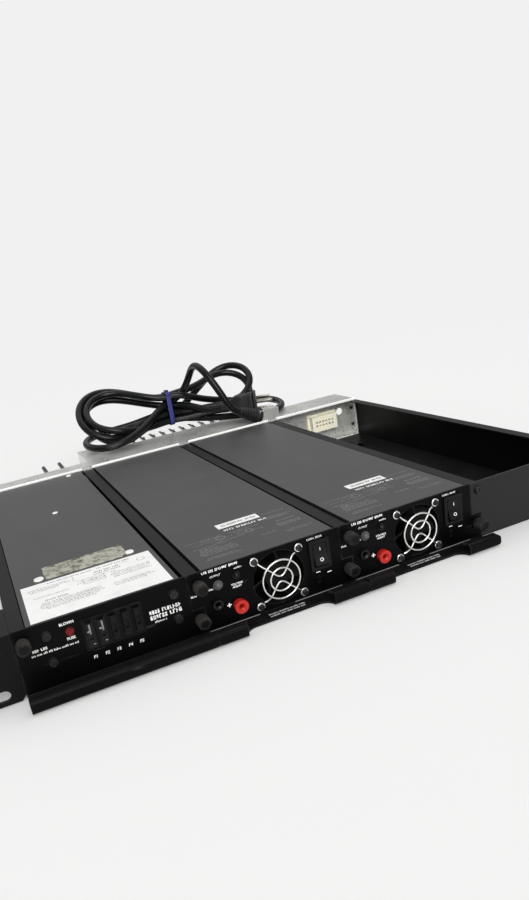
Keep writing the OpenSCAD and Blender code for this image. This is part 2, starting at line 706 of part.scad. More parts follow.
// Fuse k of the block: moulded body with a stepped pull nose and two contact blades
module fuse(k) in_frame() translate([bay_x(0) + fuse_x + (k - 1) * fuse_pitch, 0, fuse_z]) {
    color(k < 3 ? [0.75, 0.77, 0.78] : plastic) difference() {
        union() {
            block([-fuse_w / 2, fuse_w / 2], [-1.2, fuse_l - 4], [-fuse_h / 2, fuse_h / 2]);
            block([-fuse_w / 2 + 0.9, fuse_w / 2 - 0.9], [-4.6, -1], [-fuse_h / 2 + 2.5, fuse_h / 2]);
        }
        block([-fuse_w / 2 + 1.7, fuse_w / 2 - 1.7], [-5, -3.2], [-2, 4.5]);
    }
    color("silver") for (s = [-1, 1])
        block([-0.4, 0.4], [fuse_l - 4 - eps, fuse_l - 2 - 0.1], [s * 6 - 1.5, s * 6 + 1.5]);
}

module fuse_1() fuse(1);
module fuse_2() fuse(2);
module fuse_3() fuse(3);
module fuse_4() fuse(4);
module fuse_5() fuse(5);

// Red alarm lamp with a flat lens
module fuse_lamp() in_frame() color([0.7, 0.1, 0.05]) translate([bay_x(0), 0, 0]) {
    rod_y(fuse_lamp_at[0], fuse_lamp_at[1], -1.6, panel_t + 5.6, 2.5);
    rod_y(fuse_lamp_at[0], fuse_lamp_at[1], panel_t, 1, 3.2);
}

module fuse_thumb_left() thumb_left(0);
module fuse_thumb_right() thumb_right(0);

// Four panel screws and the rivets of the cover
module fuse_screws() in_frame() translate([bay_x(0), 0, 0]) {
    color(plastic) for (x = fuse_screw_x, z = fuse_screw_z) translate([x, 0, z]) screw_y(panel_t + 5);
    color("silver") for (p = cover_rivets) translate([p[0], p[1], case_top - 3]) {
        cylinder(h = 3 + eps, r = 1.5);
        translate([0, 0, 3]) cylinder(h = 0.7, r1 = 2.9, r2 = 2.2);
    }
}

// Copper bar that feeds the five fuses from the rear plug
module fuse_bus_bar() in_frame() color([0.72, 0.45, 0.2]) translate([bay_x(0), 0, 0]) {
    x1 = fuse_x + 4.5 * fuse_pitch;
    y0 = fuse_l + 3;
    y1 = panel_t + case_d - 9.3;
    block([fuse_x - fuse_pitch / 2, x1], [y0, y0 + 2], [fuse_z - 5, fuse_z + 5]);
    block([x1 - 12, x1], [y0, y1], [fuse_z - 5, fuse_z - 3]);
}

module fuse_plug() in_frame() color(plastic) translate([bay_x(0), 0, 0]) case_plug();

// ---- rectifier modules ----

module rectifier_front(i) in_frame() color(plastic) difference() {
    folded_front(i);
    translate([bay_x(i), 0, 0]) {
        rod_y(bay_pitch, thumb_z, -3, panel_t + 4, thumb_hole_r);
        rod_y(fan_at[0], fan_at[1], -1, panel_t + 2, fan_bore_r);
        fan_corners() rod_y(0, 0, -1, panel_t + 2, screw_hole_r);
        plate_y(-1, panel_t + 2) translate(switch_at)
            square([switch_w + 0.3, switch_h + 0.3], center = true);
        rod_y(thumb_left_at[0], thumb_left_at[1], -3, panel_t + 4, thumb_hole_r);
        rod_y(dome_at[0], dome_at[1], -1, panel_t + 2, 2.6);
        rod_y(dark_lamp_at[0], dark_lamp_at[1], -1, panel_t + 2, 2.1);
        for (z = pair_z) rod_y(pair_x, z, -1, panel_t + 2, 0.9);
        for (p = [red_jack_at, black_jack_at]) rod_y(p[0], p[1], -1, panel_t + 2, 3.1);
        lip_opening();
        translate([bay_pitch + panel_step - panel_gap / 2, -lip_d - 1, 0]) lip_corner();
    }
}

// Rounds the right end of a lip
module lip_corner() for (s = [0, 1])
    translate([0, 0, s == 0 ? ledge_z : ledge_z + lip_h]) mirror([0, 0, s]) difference() {
        translate([-3, 0, -1]) cube([4, lip_d - 4, 4]);
        translate([-3, -1, 3]) rotate([-90, 0, 0]) cylinder(h = lip_d, r = 3);
    }

// What the front panel's ledge and lip lose in front of the fan
module lip_opening() translate([0, 0, ledge_z - 1]) linear_extrude(lip_h + 2) {
    l = lip_cut[1] - lip_cut[0];
    translate([lip_cut[0], -lip_d - 1]) square([l, lip_d + 1 - fan_ledge - lip_cut_r]);
    translate([lip_cut[0] + lip_cut_r, -lip_d - 1])
        square([l - 2 * lip_cut_r, lip_d + 1 - fan_ledge]);
    for (x = [lip_cut[0] + lip_cut_r, lip_cut[1] - lip_cut_r])
        translate([x, -fan_ledge - lip_cut_r]) circle(lip_cut_r);
}

module fan_corners() for (sx = [-1, 1], sz = [-1, 1])
    translate([fan_at[0] + sx * fan_hole_pitch / 2, 0, fan_at[1] + sz * fan_hole_pitch / 2])
        children();

module rectifier_chassis(i) in_frame() color(paint) translate([bay_x(i), 0, 0]) difference() {
    case_chassis();
    plug_opening();
    for (k = [0 : 7]) block([case_side + 8 + 5 * k, case_side + 11 + 5 * k],
        [panel_t + case_d - 5, panel_t + case_d + 1], [10, 36]);
}

module rectifier_cover(i) in_frame() color([0.25, 0.25, 0.26]) translate([bay_x(i), 0, 0])
    case_cover();

// Square fan housing with its motor seat held by three struts at the back
module fan_frame(i) in_frame() color(plastic) translate([bay_x(i) + fan_at[0], 0, fan_at[1]]) {
    difference() {
        plate_y(panel_t, fan_d) round_rect(fan_size, fan_size, 3);
        rod_y(0, 0, panel_t - 1, fan_d + 2, fan_bore_r);
        for (sx = [-1, 1], sz = [-1, 1])
            rod_y(sx * fan_hole_pitch / 2, sz * fan_hole_pitch / 2, 0, fan_d + 3, screw_hole_r);
        for (a = [0 : 90 : 270]) rotate([0, a, 0])
            block([fan_bore_r + 0.9, fan_size], [panel_t + 4, panel_t + fan_d - 4], [-9, 9]);
    }
    difference() {
        union() {
            rod_y(0, 0, panel_t + fan_d - fan_wall, fan_wall, hub_r);
            for (a = [30 : 120 : 270]) rotate([0, a, 0])
                block([hub_r - 1, fan_bore_r + 0.5], [panel_t + fan_d - fan_wall, panel_t + fan_d],
                    [-strut_w / 2, strut_w / 2]);
        }
        rod_y(0, 0, panel_t + fan_d - fan_wall - 1, fan_wall + 2, shaft_hole_r);
    }
}

// Hub, shaft and pitched blades
module fan_rotor(i) in_frame() color([0.08, 0.08, 0.08])
    translate([bay_x(i) + fan_at[0], 0, fan_at[1]]) {
        y0 = panel_t + 1.2;
        hub_l = fan_d - fan_wall - hub_gap - 1.2;
        blade_l = hub_l - 4;
        rod_y(0, 0, y0, hub_l, hub_r);
        rod_y(0, 0, y0 + hub_l - eps, hub_gap + fan_wall - 0.4, shaft_r);
        intersection() {
            difference() {
                rod_y(0, 0, y0 + 1, blade_l, fan_bore_r - tip_gap);
                rod_y(0, 0, y0, blade_l + 2, hub_r - 0.8);
            }
            for (k = [0 : blade_count - 1]) rotate([0, k * 360 / blade_count, 0])
                translate([hub_r - 1.5, y0 + 1 + blade_l / 2, 0]) rotate([38, 0, 0])
                    translate([0, -blade_l, -0.6]) cube([fan_bore_r, 2 * blade_l, 1.2]);
        }
    }

// Wire guard: two rings on two bowed wires that end in screw eyes
module fan_guard(i) in_frame() color([0.8, 0.8, 0.8])
    translate([bay_x(i) + fan_at[0], 0, fan_at[1]]) {
        e = fan_hole_pitch / 2;
        w = wire_d / 2;
        for (r = [ring_r, ring_in_r]) translate([0, guard_y, 0]) wire_ring(r);
        for (sx = [-1, 1], sz = [-1, 1]) translate([sx * e, -w, sz * e]) wire_ring(eye_r);
        for (s = [0, 180]) rotate([0, s, 0]) bowed_wire(e, w);
    }

module wire_ring(r) rotate([90, 0, 0]) rotate_extrude() translate([r, 0]) circle(wire_d / 2);

// One guard wire from eye to eye: down to the middle, round a bend and up again
module bowed_wire(e, w) {
    y = guard_y + 1.3 * w;
    c = bend_in * sqrt(2);
    translate([0, y, c]) rotate([90, 0, 0]) rotate([0, 0, 225]) rotate_extrude(angle = 90)
        translate([bend_in, 0]) circle(w);
    for (s = [-1, 1]) {
        foot = e - eye_r / sqrt(2);
        stick([s * bend_in / sqrt(2), y, bend_in / sqrt(2)], [s * (foot - 2.4), y, foot - 2.4], w);
        stick([s * (foot - 2.4), y, foot - 2.4], [s * foot, -w, foot], w);
    }
}

// Straight wire from p to q with round joints
module stick(p, q, r) {
    v = q - p;
    translate(p) sphere(1.04 * r);
    translate(p) rotate([0, acos(v[2] / norm(v)), atan2(v[1], v[0])]) cylinder(h = norm(v), r = r);
    translate(q) sphere(1.04 * r);
}

// Screws that hold a guard and its fan to the panel
module guard_screws(i) in_frame() color(plastic) translate([bay_x(i), 0, 0])
    fan_corners() translate([0, -wire_d / 2 - 0.5, 0]) difference() {
        union() {
            rod_y(0, 0, 0, panel_t + fan_d + 2, screw_r - 0.2);
            rod_y(0, 0, -1.6, 1.6 + eps, eye_r - wire_d / 2 - 0.1);
        }
        for (a = [0, 90]) rotate([0, a, 0]) block([-1.1, 1.1], [-2, -0.9], [-0.3, 0.3]);
    }

// Switch housing with its bezel and the well that the rocker turns in
module switch_body(i) in_frame() color(plastic)
    translate([bay_x(i) + switch_at[0], 0, switch_at[1]]) difference() {
        union() {
            plate_y(-bezel_t, bezel_t)
                square([switch_w + 2 * bezel_over, switch_h + 2 * bezel_over], center = true);
            plate_y(-eps, switch_d) square([switch_w, switch_h], center = true);
            for (s = [-1, 1]) block([s * 3 - 0.4, s * 3 + 0.4], [switch_d - 1, switch_d + 6], [-3, 3]);
        }
        plate_y(-bezel_t - 1, bezel_t + 1 + 10)
            square([rocker_w + 0.8, rocker_h + 1.2], center = true);
        rod_x(-switch_w / 2 + 0.4, pivot_y, 0, switch_w - 0.8, rocker_pin_hole_r);
    }

// Rocker, shown with its upper half pressed in
module rocker(i) in_frame() color([0.07, 0.07, 0.08])
    translate([bay_x(i) + switch_at[0], pivot_y, switch_at[1]]) {
        rotate([-rocker_tilt, 0, 0]) bar_x(-rocker_w / 2, rocker_w)
            polygon([[-pivot_y - bezel_t - 1.4, -rocker_h / 2 + 0.5], [-pivot_y - bezel_t, 0],
                [-pivot_y - bezel_t - 1.4, rocker_h / 2 - 0.5], [-1, rocker_h / 2 - 0.5],
                [3, 3], [3, -3], [-1, -rocker_h / 2 + 0.5]]);
        rod_x(-rocker_w / 2 - 1.2, 0, 0, rocker_w + 2.4, rocker_pin_r);
    }

// Indicator lamps: a pale dome, a dark one and a small pair
module lamps(i) in_frame() translate([bay_x(i), 0, 0]) {
    color([0.6, 0.62, 0.6]) lamp(dome_at, 3.2, 2.5);
    color([0.05, 0.05, 0.05]) lamp(dark_lamp_at, 2.5, 2);
    color([0.5, 0.5, 0.5]) for (z = pair_z) rod_y(pair_x, z, -0.6, panel_t + 3, 0.8);
}

module lamp(at, r, neck) translate([at[0], 0, at[1]]) {
    rod_y(0, 0, -0.8, 0.8 + eps, r);
    rod_y(0, 0, 0, panel_t + 4, neck);
    translate([0, -0.8, 0]) intersection() {
        sphere(r - 0.5);
        block([-r, r], [-r, eps], [-r, r]);
    }
}

// Two test jacks with a hexagon nut behind the panel
module test_jacks(i) in_frame() color([0.75, 0.1, 0.07]) translate([bay_x(i), 0, 0])
    for (p = [red_jack_at, black_jack_at]) {
        k = p == red_jack_at ? 1 : 0.72;
        translate([p[0], 0, p[1]]) difference() {
            union() {
                rod_y(0, 0, -4 * k, 4 * k + eps, jack_r * k);
                rod_y(0, 0, 0, panel_t + 12, 3);
                translate([0, panel_t, 0]) rotate([-90, 0, 0]) cylinder(h = 2.5, r = 4.6, $fn = 6);
            }
            rod_y(0, 0, -4 * k - 1, 12, 1.4);
            translate([0, -4 * k + 0.9, 0]) rotate([90, 0, 0]) cylinder(h = 1, r1 = 1.4, r2 = 2.6);
        }
    }

module thumb_left(i) in_frame() color([0.12, 0.12, 0.12])
    translate([bay_x(i) + thumb_left_at[0], 0, thumb_left_at[1]]) thumbscrew();

module thumb_right(i) in_frame() color([0.12, 0.12, 0.12])
    translate([bay_x(i + 1), 0, thumb_z]) thumbscrew();

// Circuit board on four posts with its heat sink, transformer, chokes and capacitors
module board(i) in_frame() color([0.1, 0.35, 0.2]) translate([bay_x(i) + bay_pitch / 2, 0, 0]) {
    z0 = case_z + case_t;
    zb = z0 + 4.5;
    zt = zb + 1.6;
    y0 = 42;
    y1 = case_d - 20;
    for (x = [-36, 36], y = [y0 + 8, y1 - 8]) translate([x, y, z0]) cylinder(h = 4.5 + eps, r = 2.6);
    block([-41, 41], [y0, y1], [zb, zt]);
    for (k = [0 : 6]) block([-38 + 5 * k, -36.4 + 5 * k], [y0 + 20, y0 + 120], [zt + 2.9, zt + 28]);
    block([-38, -6.4], [y0 + 20, y0 + 120], [zt - eps, zt + 3]);
    block([4, 38], [y0 + 30, y0 + 72], [zt - eps, zt + 26]);
    block([9, 33], [y0 + 24, y0 + 78], [zt - eps, zt + 18]);
    for (k = [0 : 2]) translate([-26 + 25 * k, y0 + 148, zt - eps]) cylinder(h = 27, r = 10);
    translate([22, y0 + 104, zt - eps]) difference() {
        cylinder(h = 13, r = 15);
        translate([0, 0, -1]) cylinder(h = 16, r = 6);
    }
    block([-30, 10], [y0 + 172, y0 + 200], [zt - eps, zt + 22]);
}

module rectifier_plug(i) in_frame() color(plastic) translate([bay_x(i), 0, 0]) case_plug();

module rect1_front() rectifier_front(1);
module rect1_chassis() rectifier_chassis(1);
module rect1_cover() rectifier_cover(1);
module rect1_fan_frame() fan_frame(1);
module rect1_fan_rotor() fan_rotor(1);
module rect1_fan_guard() fan_guard(1);
module rect1_guard_screws() guard_screws(1);
module rect1_switch_body() switch_body(1);
module rect1_rocker() rocker(1);
module rect1_lamps() lamps(1);
module rect1_test_jacks() test_jacks(1);
module rect1_thumb_left() thumb_left(1);
module rect1_thumb_right() thumb_right(1);
module rect1_board() board(1);
module rect1_plug() rectifier_plug(1);

module rect2_front() rectifier_front(2);
module rect2_chassis() rectifier_chassis(2);
module rect2_cover() rectifier_cover(2);
module rect2_fan_frame() fan_frame(2);
module rect2_fan_rotor() fan_rotor(2);
module rect2_fan_guard() fan_guard(2);
module rect2_guard_screws() guard_screws(2);
module rect2_switch_body() switch_body(2);
module rect2_rocker() rocker(2);
module rect2_lamps() lamps(2);
module rect2_test_jacks() test_jacks(2);
module rect2_thumb_left() thumb_left(2);
module rect2_thumb_right() thumb_right(2);
module rect2_board() board(2);
module rect2_plug() rectifier_plug(2);

shelf_tray();
bay_dividers();
left_ear();
right_ear();
shelf_screws();
rear_channel();
rear_box();
bay_connectors();
output_terminals();
blank_panel();
strain_relief();
power_cord();
cord_hank();
cord_tie();
cord_plug();
fuse_front();
fuse_chassis();
fuse_cover();
fuse_block();
fuse_1();
fuse_2();
fuse_3();
fuse_4();
fuse_5();
fuse_lamp();
fuse_thumb_left();
fuse_thumb_right();
fuse_screws();
fuse_bus_bar();
fuse_plug();
rect1_front();
rect1_chassis();
rect1_cover();
rect1_fan_frame();
rect1_fan_rotor();
rect1_fan_guard();
rect1_guard_screws();
rect1_switch_body();
rect1_rocker();
rect1_lamps();
rect1_test_jacks();
rect1_thumb_left();
rect1_thumb_right();
rect1_board();
rect1_plug();
rect2_front();
rect2_chassis();
rect2_cover();
rect2_fan_frame();
rect2_fan_rotor();
rect2_fan_guard();
rect2_guard_screws();
rect2_switch_body();
rect2_rocker();
rect2_lamps();
rect2_test_jacks();
rect2_thumb_left();
rect2_thumb_right();
rect2_board();
rect2_plug();
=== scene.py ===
import math
import random

import bmesh
import bpy
import numpy as np
from mathutils import Matrix, Vector


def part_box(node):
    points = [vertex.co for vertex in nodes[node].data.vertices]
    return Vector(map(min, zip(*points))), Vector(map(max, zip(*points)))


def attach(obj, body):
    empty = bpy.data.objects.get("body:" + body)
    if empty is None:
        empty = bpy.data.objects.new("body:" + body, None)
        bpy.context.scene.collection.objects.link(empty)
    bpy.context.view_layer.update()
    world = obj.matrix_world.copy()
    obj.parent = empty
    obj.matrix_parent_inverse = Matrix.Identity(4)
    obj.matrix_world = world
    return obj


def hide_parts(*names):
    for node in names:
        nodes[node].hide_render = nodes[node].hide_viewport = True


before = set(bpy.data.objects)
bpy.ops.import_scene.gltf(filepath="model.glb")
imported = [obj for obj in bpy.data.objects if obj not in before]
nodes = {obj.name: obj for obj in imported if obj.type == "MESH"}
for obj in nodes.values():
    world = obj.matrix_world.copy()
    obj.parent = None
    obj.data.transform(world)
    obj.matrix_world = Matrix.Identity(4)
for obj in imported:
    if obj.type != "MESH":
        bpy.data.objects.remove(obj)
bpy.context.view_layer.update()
print("frame loaded,", len(nodes), "nodes")

# ---- camera ----

camera = {
    "place": (-0.2071, -0.5764, 0.2168),
    "right": (0.91238, -0.37329, -0.16798),
    "up": (0.27024, 0.24104, 0.93213),
    "back": (-0.30747, -0.89585, 0.32079),
    "lens": 27.64,
    "shift": (0.043, 0.0587),
}

turn = Matrix([camera["right"], camera["up"], camera["back"]]).transposed().to_4x4()
bpy.ops.object.camera_add()
eye = bpy.context.object
eye.name = "camera"
eye.matrix_world = Matrix.Translation(camera["place"]) @ turn
eye.data.lens = camera["lens"]
eye.data.sensor_fit = "AUTO"
eye.data.sensor_width = 36
eye.data.shift_x, eye.data.shift_y = camera["shift"]
eye.data.clip_start, eye.data.clip_end = 0.01, 50
bpy.context.scene.camera = eye
print("camera placed")


# ---- small helpers ----

def letGo():
    # nothing selected, nothing active
    if bpy.context.object and bpy.context.object.mode != "OBJECT":
        objectMode()
    bpy.ops.object.select_all(action="DESELECT")
    bpy.context.view_layer.objects.active = None


def pick(piece):
    # only this piece selected and active
    letGo()
    piece.select_set(True)
    bpy.context.view_layer.objects.active = piece


def meshMode():
    bpy.ops.object.mode_set(mode="EDIT")


def objectMode():
    bpy.ops.object.mode_set(mode="OBJECT")


def selectWhere(piece, kind, wanted):
    # in edit mode: selects the faces, edges or verts for which wanted is true
    shell = bmesh.from_edit_mesh(piece.data)
    for part in getattr(shell, kind):
        part.select = wanted(part)
    bmesh.update_edit_mesh(piece.data)


def settleIn(piece):
    # puts the object's place into its mesh
    pick(piece)
    bpy.ops.object.transform_apply(location=True, rotation=True, scale=True)
    return piece


def useModifier(piece, kind, **settings):
    pick(piece)
    added = piece.modifiers.new(kind.lower(), kind)
    for key, value in settings.items():
        setattr(added, key, value)
    bpy.ops.object.modifier_apply(modifier=added.name)
    return piece


def joinUp(name, parts):
    letGo()
    for part in parts:
        part.select_set(True)
    bpy.context.view_layer.objects.active = parts[0]
    if len(parts) > 1:
        bpy.ops.object.join()
    joined = bpy.context.object
    joined.name = name
    joined.data.name = name
    return joined


def dress(piece, body, finish, angle=35):
    # gives a finished piece its material, its body and its slot
    piece.data.materials.clear()
    piece.data.materials.append(finish)
    if angle and piece.type == "MESH":
        pick(piece)
        bpy.ops.object.shade_smooth_by_angle(angle=math.radians(angle))
    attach(piece, body)
    return piece


def boxPiece(name, low, high, bevel=0.0, steps=2):
    # a cube at its size and place, with its edges rounded
    letGo()
    middle = [(a + b) / 2 for a, b in zip(low, high)]
    bpy.ops.mesh.primitive_cube_add(size=1, location=middle)
    piece = bpy.context.object
    piece.name = name
    meshMode()
    bpy.ops.transform.resize(value=[b - a for a, b in zip(low, high)])
    if bevel:
        bpy.ops.mesh.bevel(offset=bevel, segments=steps, affect="EDGES")
    return settleIn(piece)


def turnedPiece(name, profile, place, axis="Y", sides=32):
    # profile is radius and height pairs, spun about the axis through place; heights run along the axis
    letGo()
    bpy.ops.mesh.primitive_circle_add(vertices=3, radius=1, location=(0, 0, 0))
    piece = bpy.context.object
    piece.name = name
    meshMode()
    bpy.ops.mesh.select_all(action="SELECT")
    bpy.ops.mesh.delete(type="VERT")
    shell = bmesh.from_edit_mesh(piece.data)
    spots = [shell.verts.new((radius, 0, height)) for radius, height in profile]
    for one, two in zip(spots, spots[1:]):
        shell.edges.new((one, two))
    bmesh.update_edit_mesh(piece.data)
    bpy.ops.mesh.select_all(action="SELECT")
    bpy.ops.mesh.spin(steps=sides, angle=math.tau, center=(0, 0, 0), axis=(0, 0, 1))
    bpy.ops.mesh.select_all(action="SELECT")
    bpy.ops.mesh.remove_doubles(threshold=1e-6)
    bpy.ops.mesh.normals_make_consistent(inside=False)
    objectMode()
    if axis == "Y":
        piece.rotation_euler = (math.radians(90), 0, 0)   # heights run to the front
    elif axis == "X":
        piece.rotation_euler = (0, math.radians(90), 0)
    piece.location = place
    return settleIn(piece)


# ---- power cord ----

powerCord = {
    "thick": 0.008,
    "exit": (0.0734, 0.1385, 0.0604),
    # the free arch that stands over the hank, from the strain relief
    "arch": [(0.067, 0.1387, 0.0645), (0.0615, 0.1395, 0.0735), (0.057, 0.142, 0.084),
             (0.053, 0.146, 0.094), (0.0485, 0.152, 0.104), (0.045, 0.161, 0.113),
             (0.0435, 0.1725, 0.117), (0.043, 0.184, 0.1145), (0.042, 0.193, 0.1065),
             (0.038, 0.199, 0.097), (0.032, 0.2025, 0.088), (0.0245, 0.2045, 0.080)],
    "plateTop": 0.0434,
    "tieX": 0.012,
    "tieMiddle": (0.2075, 0.0705),
    # centre, radius, lean and rise in degrees of each left and right lobe
    "left": [((-0.064, 0.197, 0.0535), 0.028, 6, 0), ((-0.055, 0.209, 0.0775), 0.037, 40, 6),
             ((-0.049, 0.207, 0.078), 0.033, 38, 6), ((-0.052, 0.211, 0.073), 0.034, 33, 5)],
    "right": [((0.093, 0.212, 0.0785), 0.028, 42, 26), ((0.089, 0.208, 0.0745), 0.027, 38, 18),
              ((0.116, 0.190, 0.0505), 0.0285, 9, 0)],
    "plugStart": (0.068, 0.178, 0.0622),
    "plugWay": (0.8988, -0.4384, 0.0),
}


def lobePoints(centre, radius, lean, rise, side, count=11):
    # half a turn, from below to above on the left, and from above to below on the right
    lean, rise = math.radians(lean), math.radians(rise)
    found = []
    for step in range(count):
        angle = math.radians(-90 + 180 * step / (count - 1)) * (-side)
        along = radius * math.cos(angle)
        across = radius * math.sin(angle)
        found.append(np.array(centre) + [side * along * math.cos(rise), across * math.cos(lean),
                                         across * math.sin(lean) + along * math.sin(rise)])
    return found


def smoothLine(points, spacing):
    # a smooth curve through the points, cut into equal lengths
    points = np.array(points, float)
    ends = np.vstack([2 * points[0] - points[1], points, 2 * points[-1] - points[-2]])
    fine = []
    for k in range(1, len(ends) - 2):
        before, here, after, later = ends[k - 1:k + 3]
        for t in np.linspace(0, 1, 24, endpoint=False):
            fine.append(0.5 * (2 * here + (after - before) * t
                               + (2 * before - 5 * here + 4 * after - later) * t ** 2
                               + (3 * here - before - 3 * after + later) * t ** 3))
    fine = np.vstack([fine, points[-1]])
    far = np.concatenate([[0], np.cumsum(np.linalg.norm(np.diff(fine, axis=0), axis=1))])
    count = int(round(far[-1] / spacing)) + 1
    even = np.linspace(0, far[-1], count)
    return np.column_stack([np.interp(even, far, fine[:, k]) for k in range(3)])


def hankRoute():
    # arch, then loops to the left and right of the tie, then the end that runs into the plug
    middleY, middleZ = powerCord["tieMiddle"]
    wide = powerCord["thick"] * 0.54
    # side and row in the bundle, in the order in which the runs pass the tie
    order = [(-1, 1), (1, -1), (-1, -1), (1, 3), (-1, -3), (-1, 3), (1, -3), (1, 1)]
    places = [(side * wide, row * wide) for side, row in order]
    route = [powerCord["exit"], *powerCord["arch"]]
    for k in range(4):
        dy, dz = places[2 * k]
        route.append((powerCord["tieX"], middleY + dy, middleZ + dz))
        route += lobePoints(*powerCord["left"][k], -1)
        dy, dz = places[2 * k + 1]
        route.append((powerCord["tieX"], middleY + dy, middleZ + dz))
        if k < 3:
            route += lobePoints(*powerCord["right"][k], 1)
    start, way = np.array(powerCord["plugStart"]), np.array(powerCord["plugWay"])
    route += [tuple(start - 0.030 * way), tuple(start - 0.015 * way), tuple(start - 0.005 * way),
              tuple(start + 0.003 * way)]
    return route


def spreadOut(push, reach=4):
    # hands a push on to the neighbours, so that it makes a soft hump
    wide = np.zeros_like(push)
    total = 0
    for shift in range(-reach, reach + 1):
        weight = (1 + math.cos(math.pi * shift / (reach + 1))) / 2
        total += weight
        start, stop = max(0, shift), len(push) + min(0, shift)
        wide[start:stop] += weight * push[start - shift:stop - shift]
    return wide * 1.6 / total


def settleCord(points, thick, plate, rounds=900):
    # lets the strands push each other apart, keeps every step its length, and bends softly
    count = len(points)
    step = np.linalg.norm(np.diff(points, axis=0), axis=1).mean()
    held = np.zeros(count, bool)
    held[:3] = held[-4:] = True
    start = points.copy()
    hold = np.full((count, 1), 0.012)
    hold[:int(0.12 / step)] = 0.12
    near = int(math.ceil(thick * 2.2 / step))
    first, second = np.triu_indices(count, near)
    middle = np.array([powerCord["tieX"], *powerCord["tieMiddle"]])
    tightest = thick * 3.4
    for turnNumber in range(rounds):
        last = turnNumber > rounds * 0.75
        bend = points[:-2] - 2 * points[1:-1] + points[2:]
        stiff = np.zeros_like(points)
        stiff[:-2] -= bend
        stiff[1:-1] += 2 * bend
        stiff[2:] -= bend
        points += (0.10 if last else 0.14) * stiff
        # no bend tighter than the cord allows
        moved = np.zeros_like(points)
        for reach in (2, 4, 6, 8):
            chord = 2 * tightest * math.sin(min(reach * step / tightest, math.pi / 2))
            gap = points[2 * reach:] - points[:-2 * reach]
            size = np.linalg.norm(gap, axis=1, keepdims=True)
            push = np.where(size < chord, 0.05 * (chord - size) * gap / np.maximum(size, 1e-6), 0)
            moved[2 * reach:] += push
            moved[:-2 * reach] -= push
        points += spreadOut(moved)
        points += (0.1 if last else 1) * hold * (start - points)
        gap = points[second] - points[first]
        size = np.linalg.norm(gap, axis=1)
        close = size < thick * 1.05
        push = (0.5 * (thick * 1.05 - size[close]) / np.maximum(size[close], 1e-6))[:, None] * gap[close]
        moved = np.zeros_like(points)
        np.add.at(moved, first[close], -push)
        np.add.at(moved, second[close], push)
        points += spreadOut(moved)
        for odd in (0, 1):
            one = np.arange(odd, count - 1, 2)
            gap = points[one + 1] - points[one]
            size = np.linalg.norm(gap, axis=1, keepdims=True)
            push = 0.5 * (size - step) * gap / size
            points[one] += push
            points[one + 1] -= push
        tied = np.abs(points[:, 0] - middle[0]) < 0.008
        away = points[tied, 1:] - middle[1:]
        points[tied, 1:] -= 0.2 * (away - np.clip(away, [-0.0050, -0.0140], [0.0050, 0.0140]))
        points[:, 2] = np.clip(points[:, 2], plate + thick / 2 + 0.0002, 0.1172)
        points[:, 1] = np.minimum(points[:, 1], 0.2405)
        points[held] = start[held]
    gap = np.linalg.norm(points[second] - points[first], axis=1)
    print("cord settled, strands are", round(float(gap.min()) * 1000, 2), "mm apart at the closest")
    return points


cordLine = settleCord(smoothLine(hankRoute(), 0.005), powerCord["thick"], powerCord["plateTop"])
# ---- finishes ----

work = {}   # the finish, node tree and shader that the helpers below add to


def newFinish(name):
    finish = bpy.data.materials.new(name)
    finish.use_nodes = True
    tree = finish.node_tree
    work.update(finish=finish, tree=tree, shader=tree.nodes["Principled BSDF"])


def feed(node, key, value):
    # an input takes either a value or the socket that feeds it
    socket = node.inputs[key]
    if isinstance(value, bpy.types.NodeSocket):
        work["tree"].links.new(value, socket)
    else:
        socket.default_value = (*value, 1) if socket.type == "RGBA" else value


def put(kind, inputs=None, **settings):
    node = work["tree"].nodes.new("ShaderNode" + kind)
    for key, value in settings.items():
        setattr(node, key, value)
    for key, value in (inputs or {}).items():
        feed(node, key, value)
    return node


def sums(operation, one, two=0.0, clamp=False):
    return put("Math", {0: one, 1: two}, operation=operation, use_clamp=clamp).outputs[0]


def plus(one, two):
    return sums("ADD", one, two)


def times(one, two, clamp=False):
    return sums("MULTIPLY", one, two, clamp)


def ranged(value, low, high, newLow=0.0, newHigh=1.0):
    return put("MapRange", {0: value, 1: low, 2: high, 3: newLow, 4: newHigh}).outputs[0]


def blended(factor, one, two, kind="MIX"):
    return put("Mix", {0: factor, 6: one, 7: two}, data_type="RGBA", blend_type=kind).outputs[2]


def ramp(value, low, dark, high, pale):
    node = put("ValToRGB", {0: value})
    for stop, at, colour in zip(node.color_ramp.elements, (low, high), (dark, pale)):
        stop.position, stop.color = at, (*colour, 1)
    return node.outputs[0]


def place(stretch=(1, 1, 1), turned=(0, 0, 0)):
    found = put("TexCoord").outputs["Object"]
    return put("Mapping", {0: found, "Rotation": turned, "Scale": stretch}).outputs[0]


def mottle(where, scale, detail=3.0, rough=0.55):
    return put("TexNoise", {"Vector": where, "Scale": scale, "Detail": detail, "Roughness": rough}).outputs["Fac"]


def edgeMask(radius, gain):
    # 1 along the corners, 0 on flat faces
    rounded = put("Bevel", {"Radius": radius}, samples=4).outputs[0]
    flat = put("NewGeometry").outputs["Normal"]
    same = put("VectorMath", {0: rounded, 1: flat}, operation="DOT_PRODUCT").outputs["Value"]
    return times(sums("SUBTRACT", 1.0, same), gain, True)


def normalAlong(axis):
    return put("SeparateXYZ", {0: put("NewGeometry").outputs["Normal"]}).outputs[axis]


def upMask():
    return sums("MAXIMUM", normalAlong(2), 0.0, True)


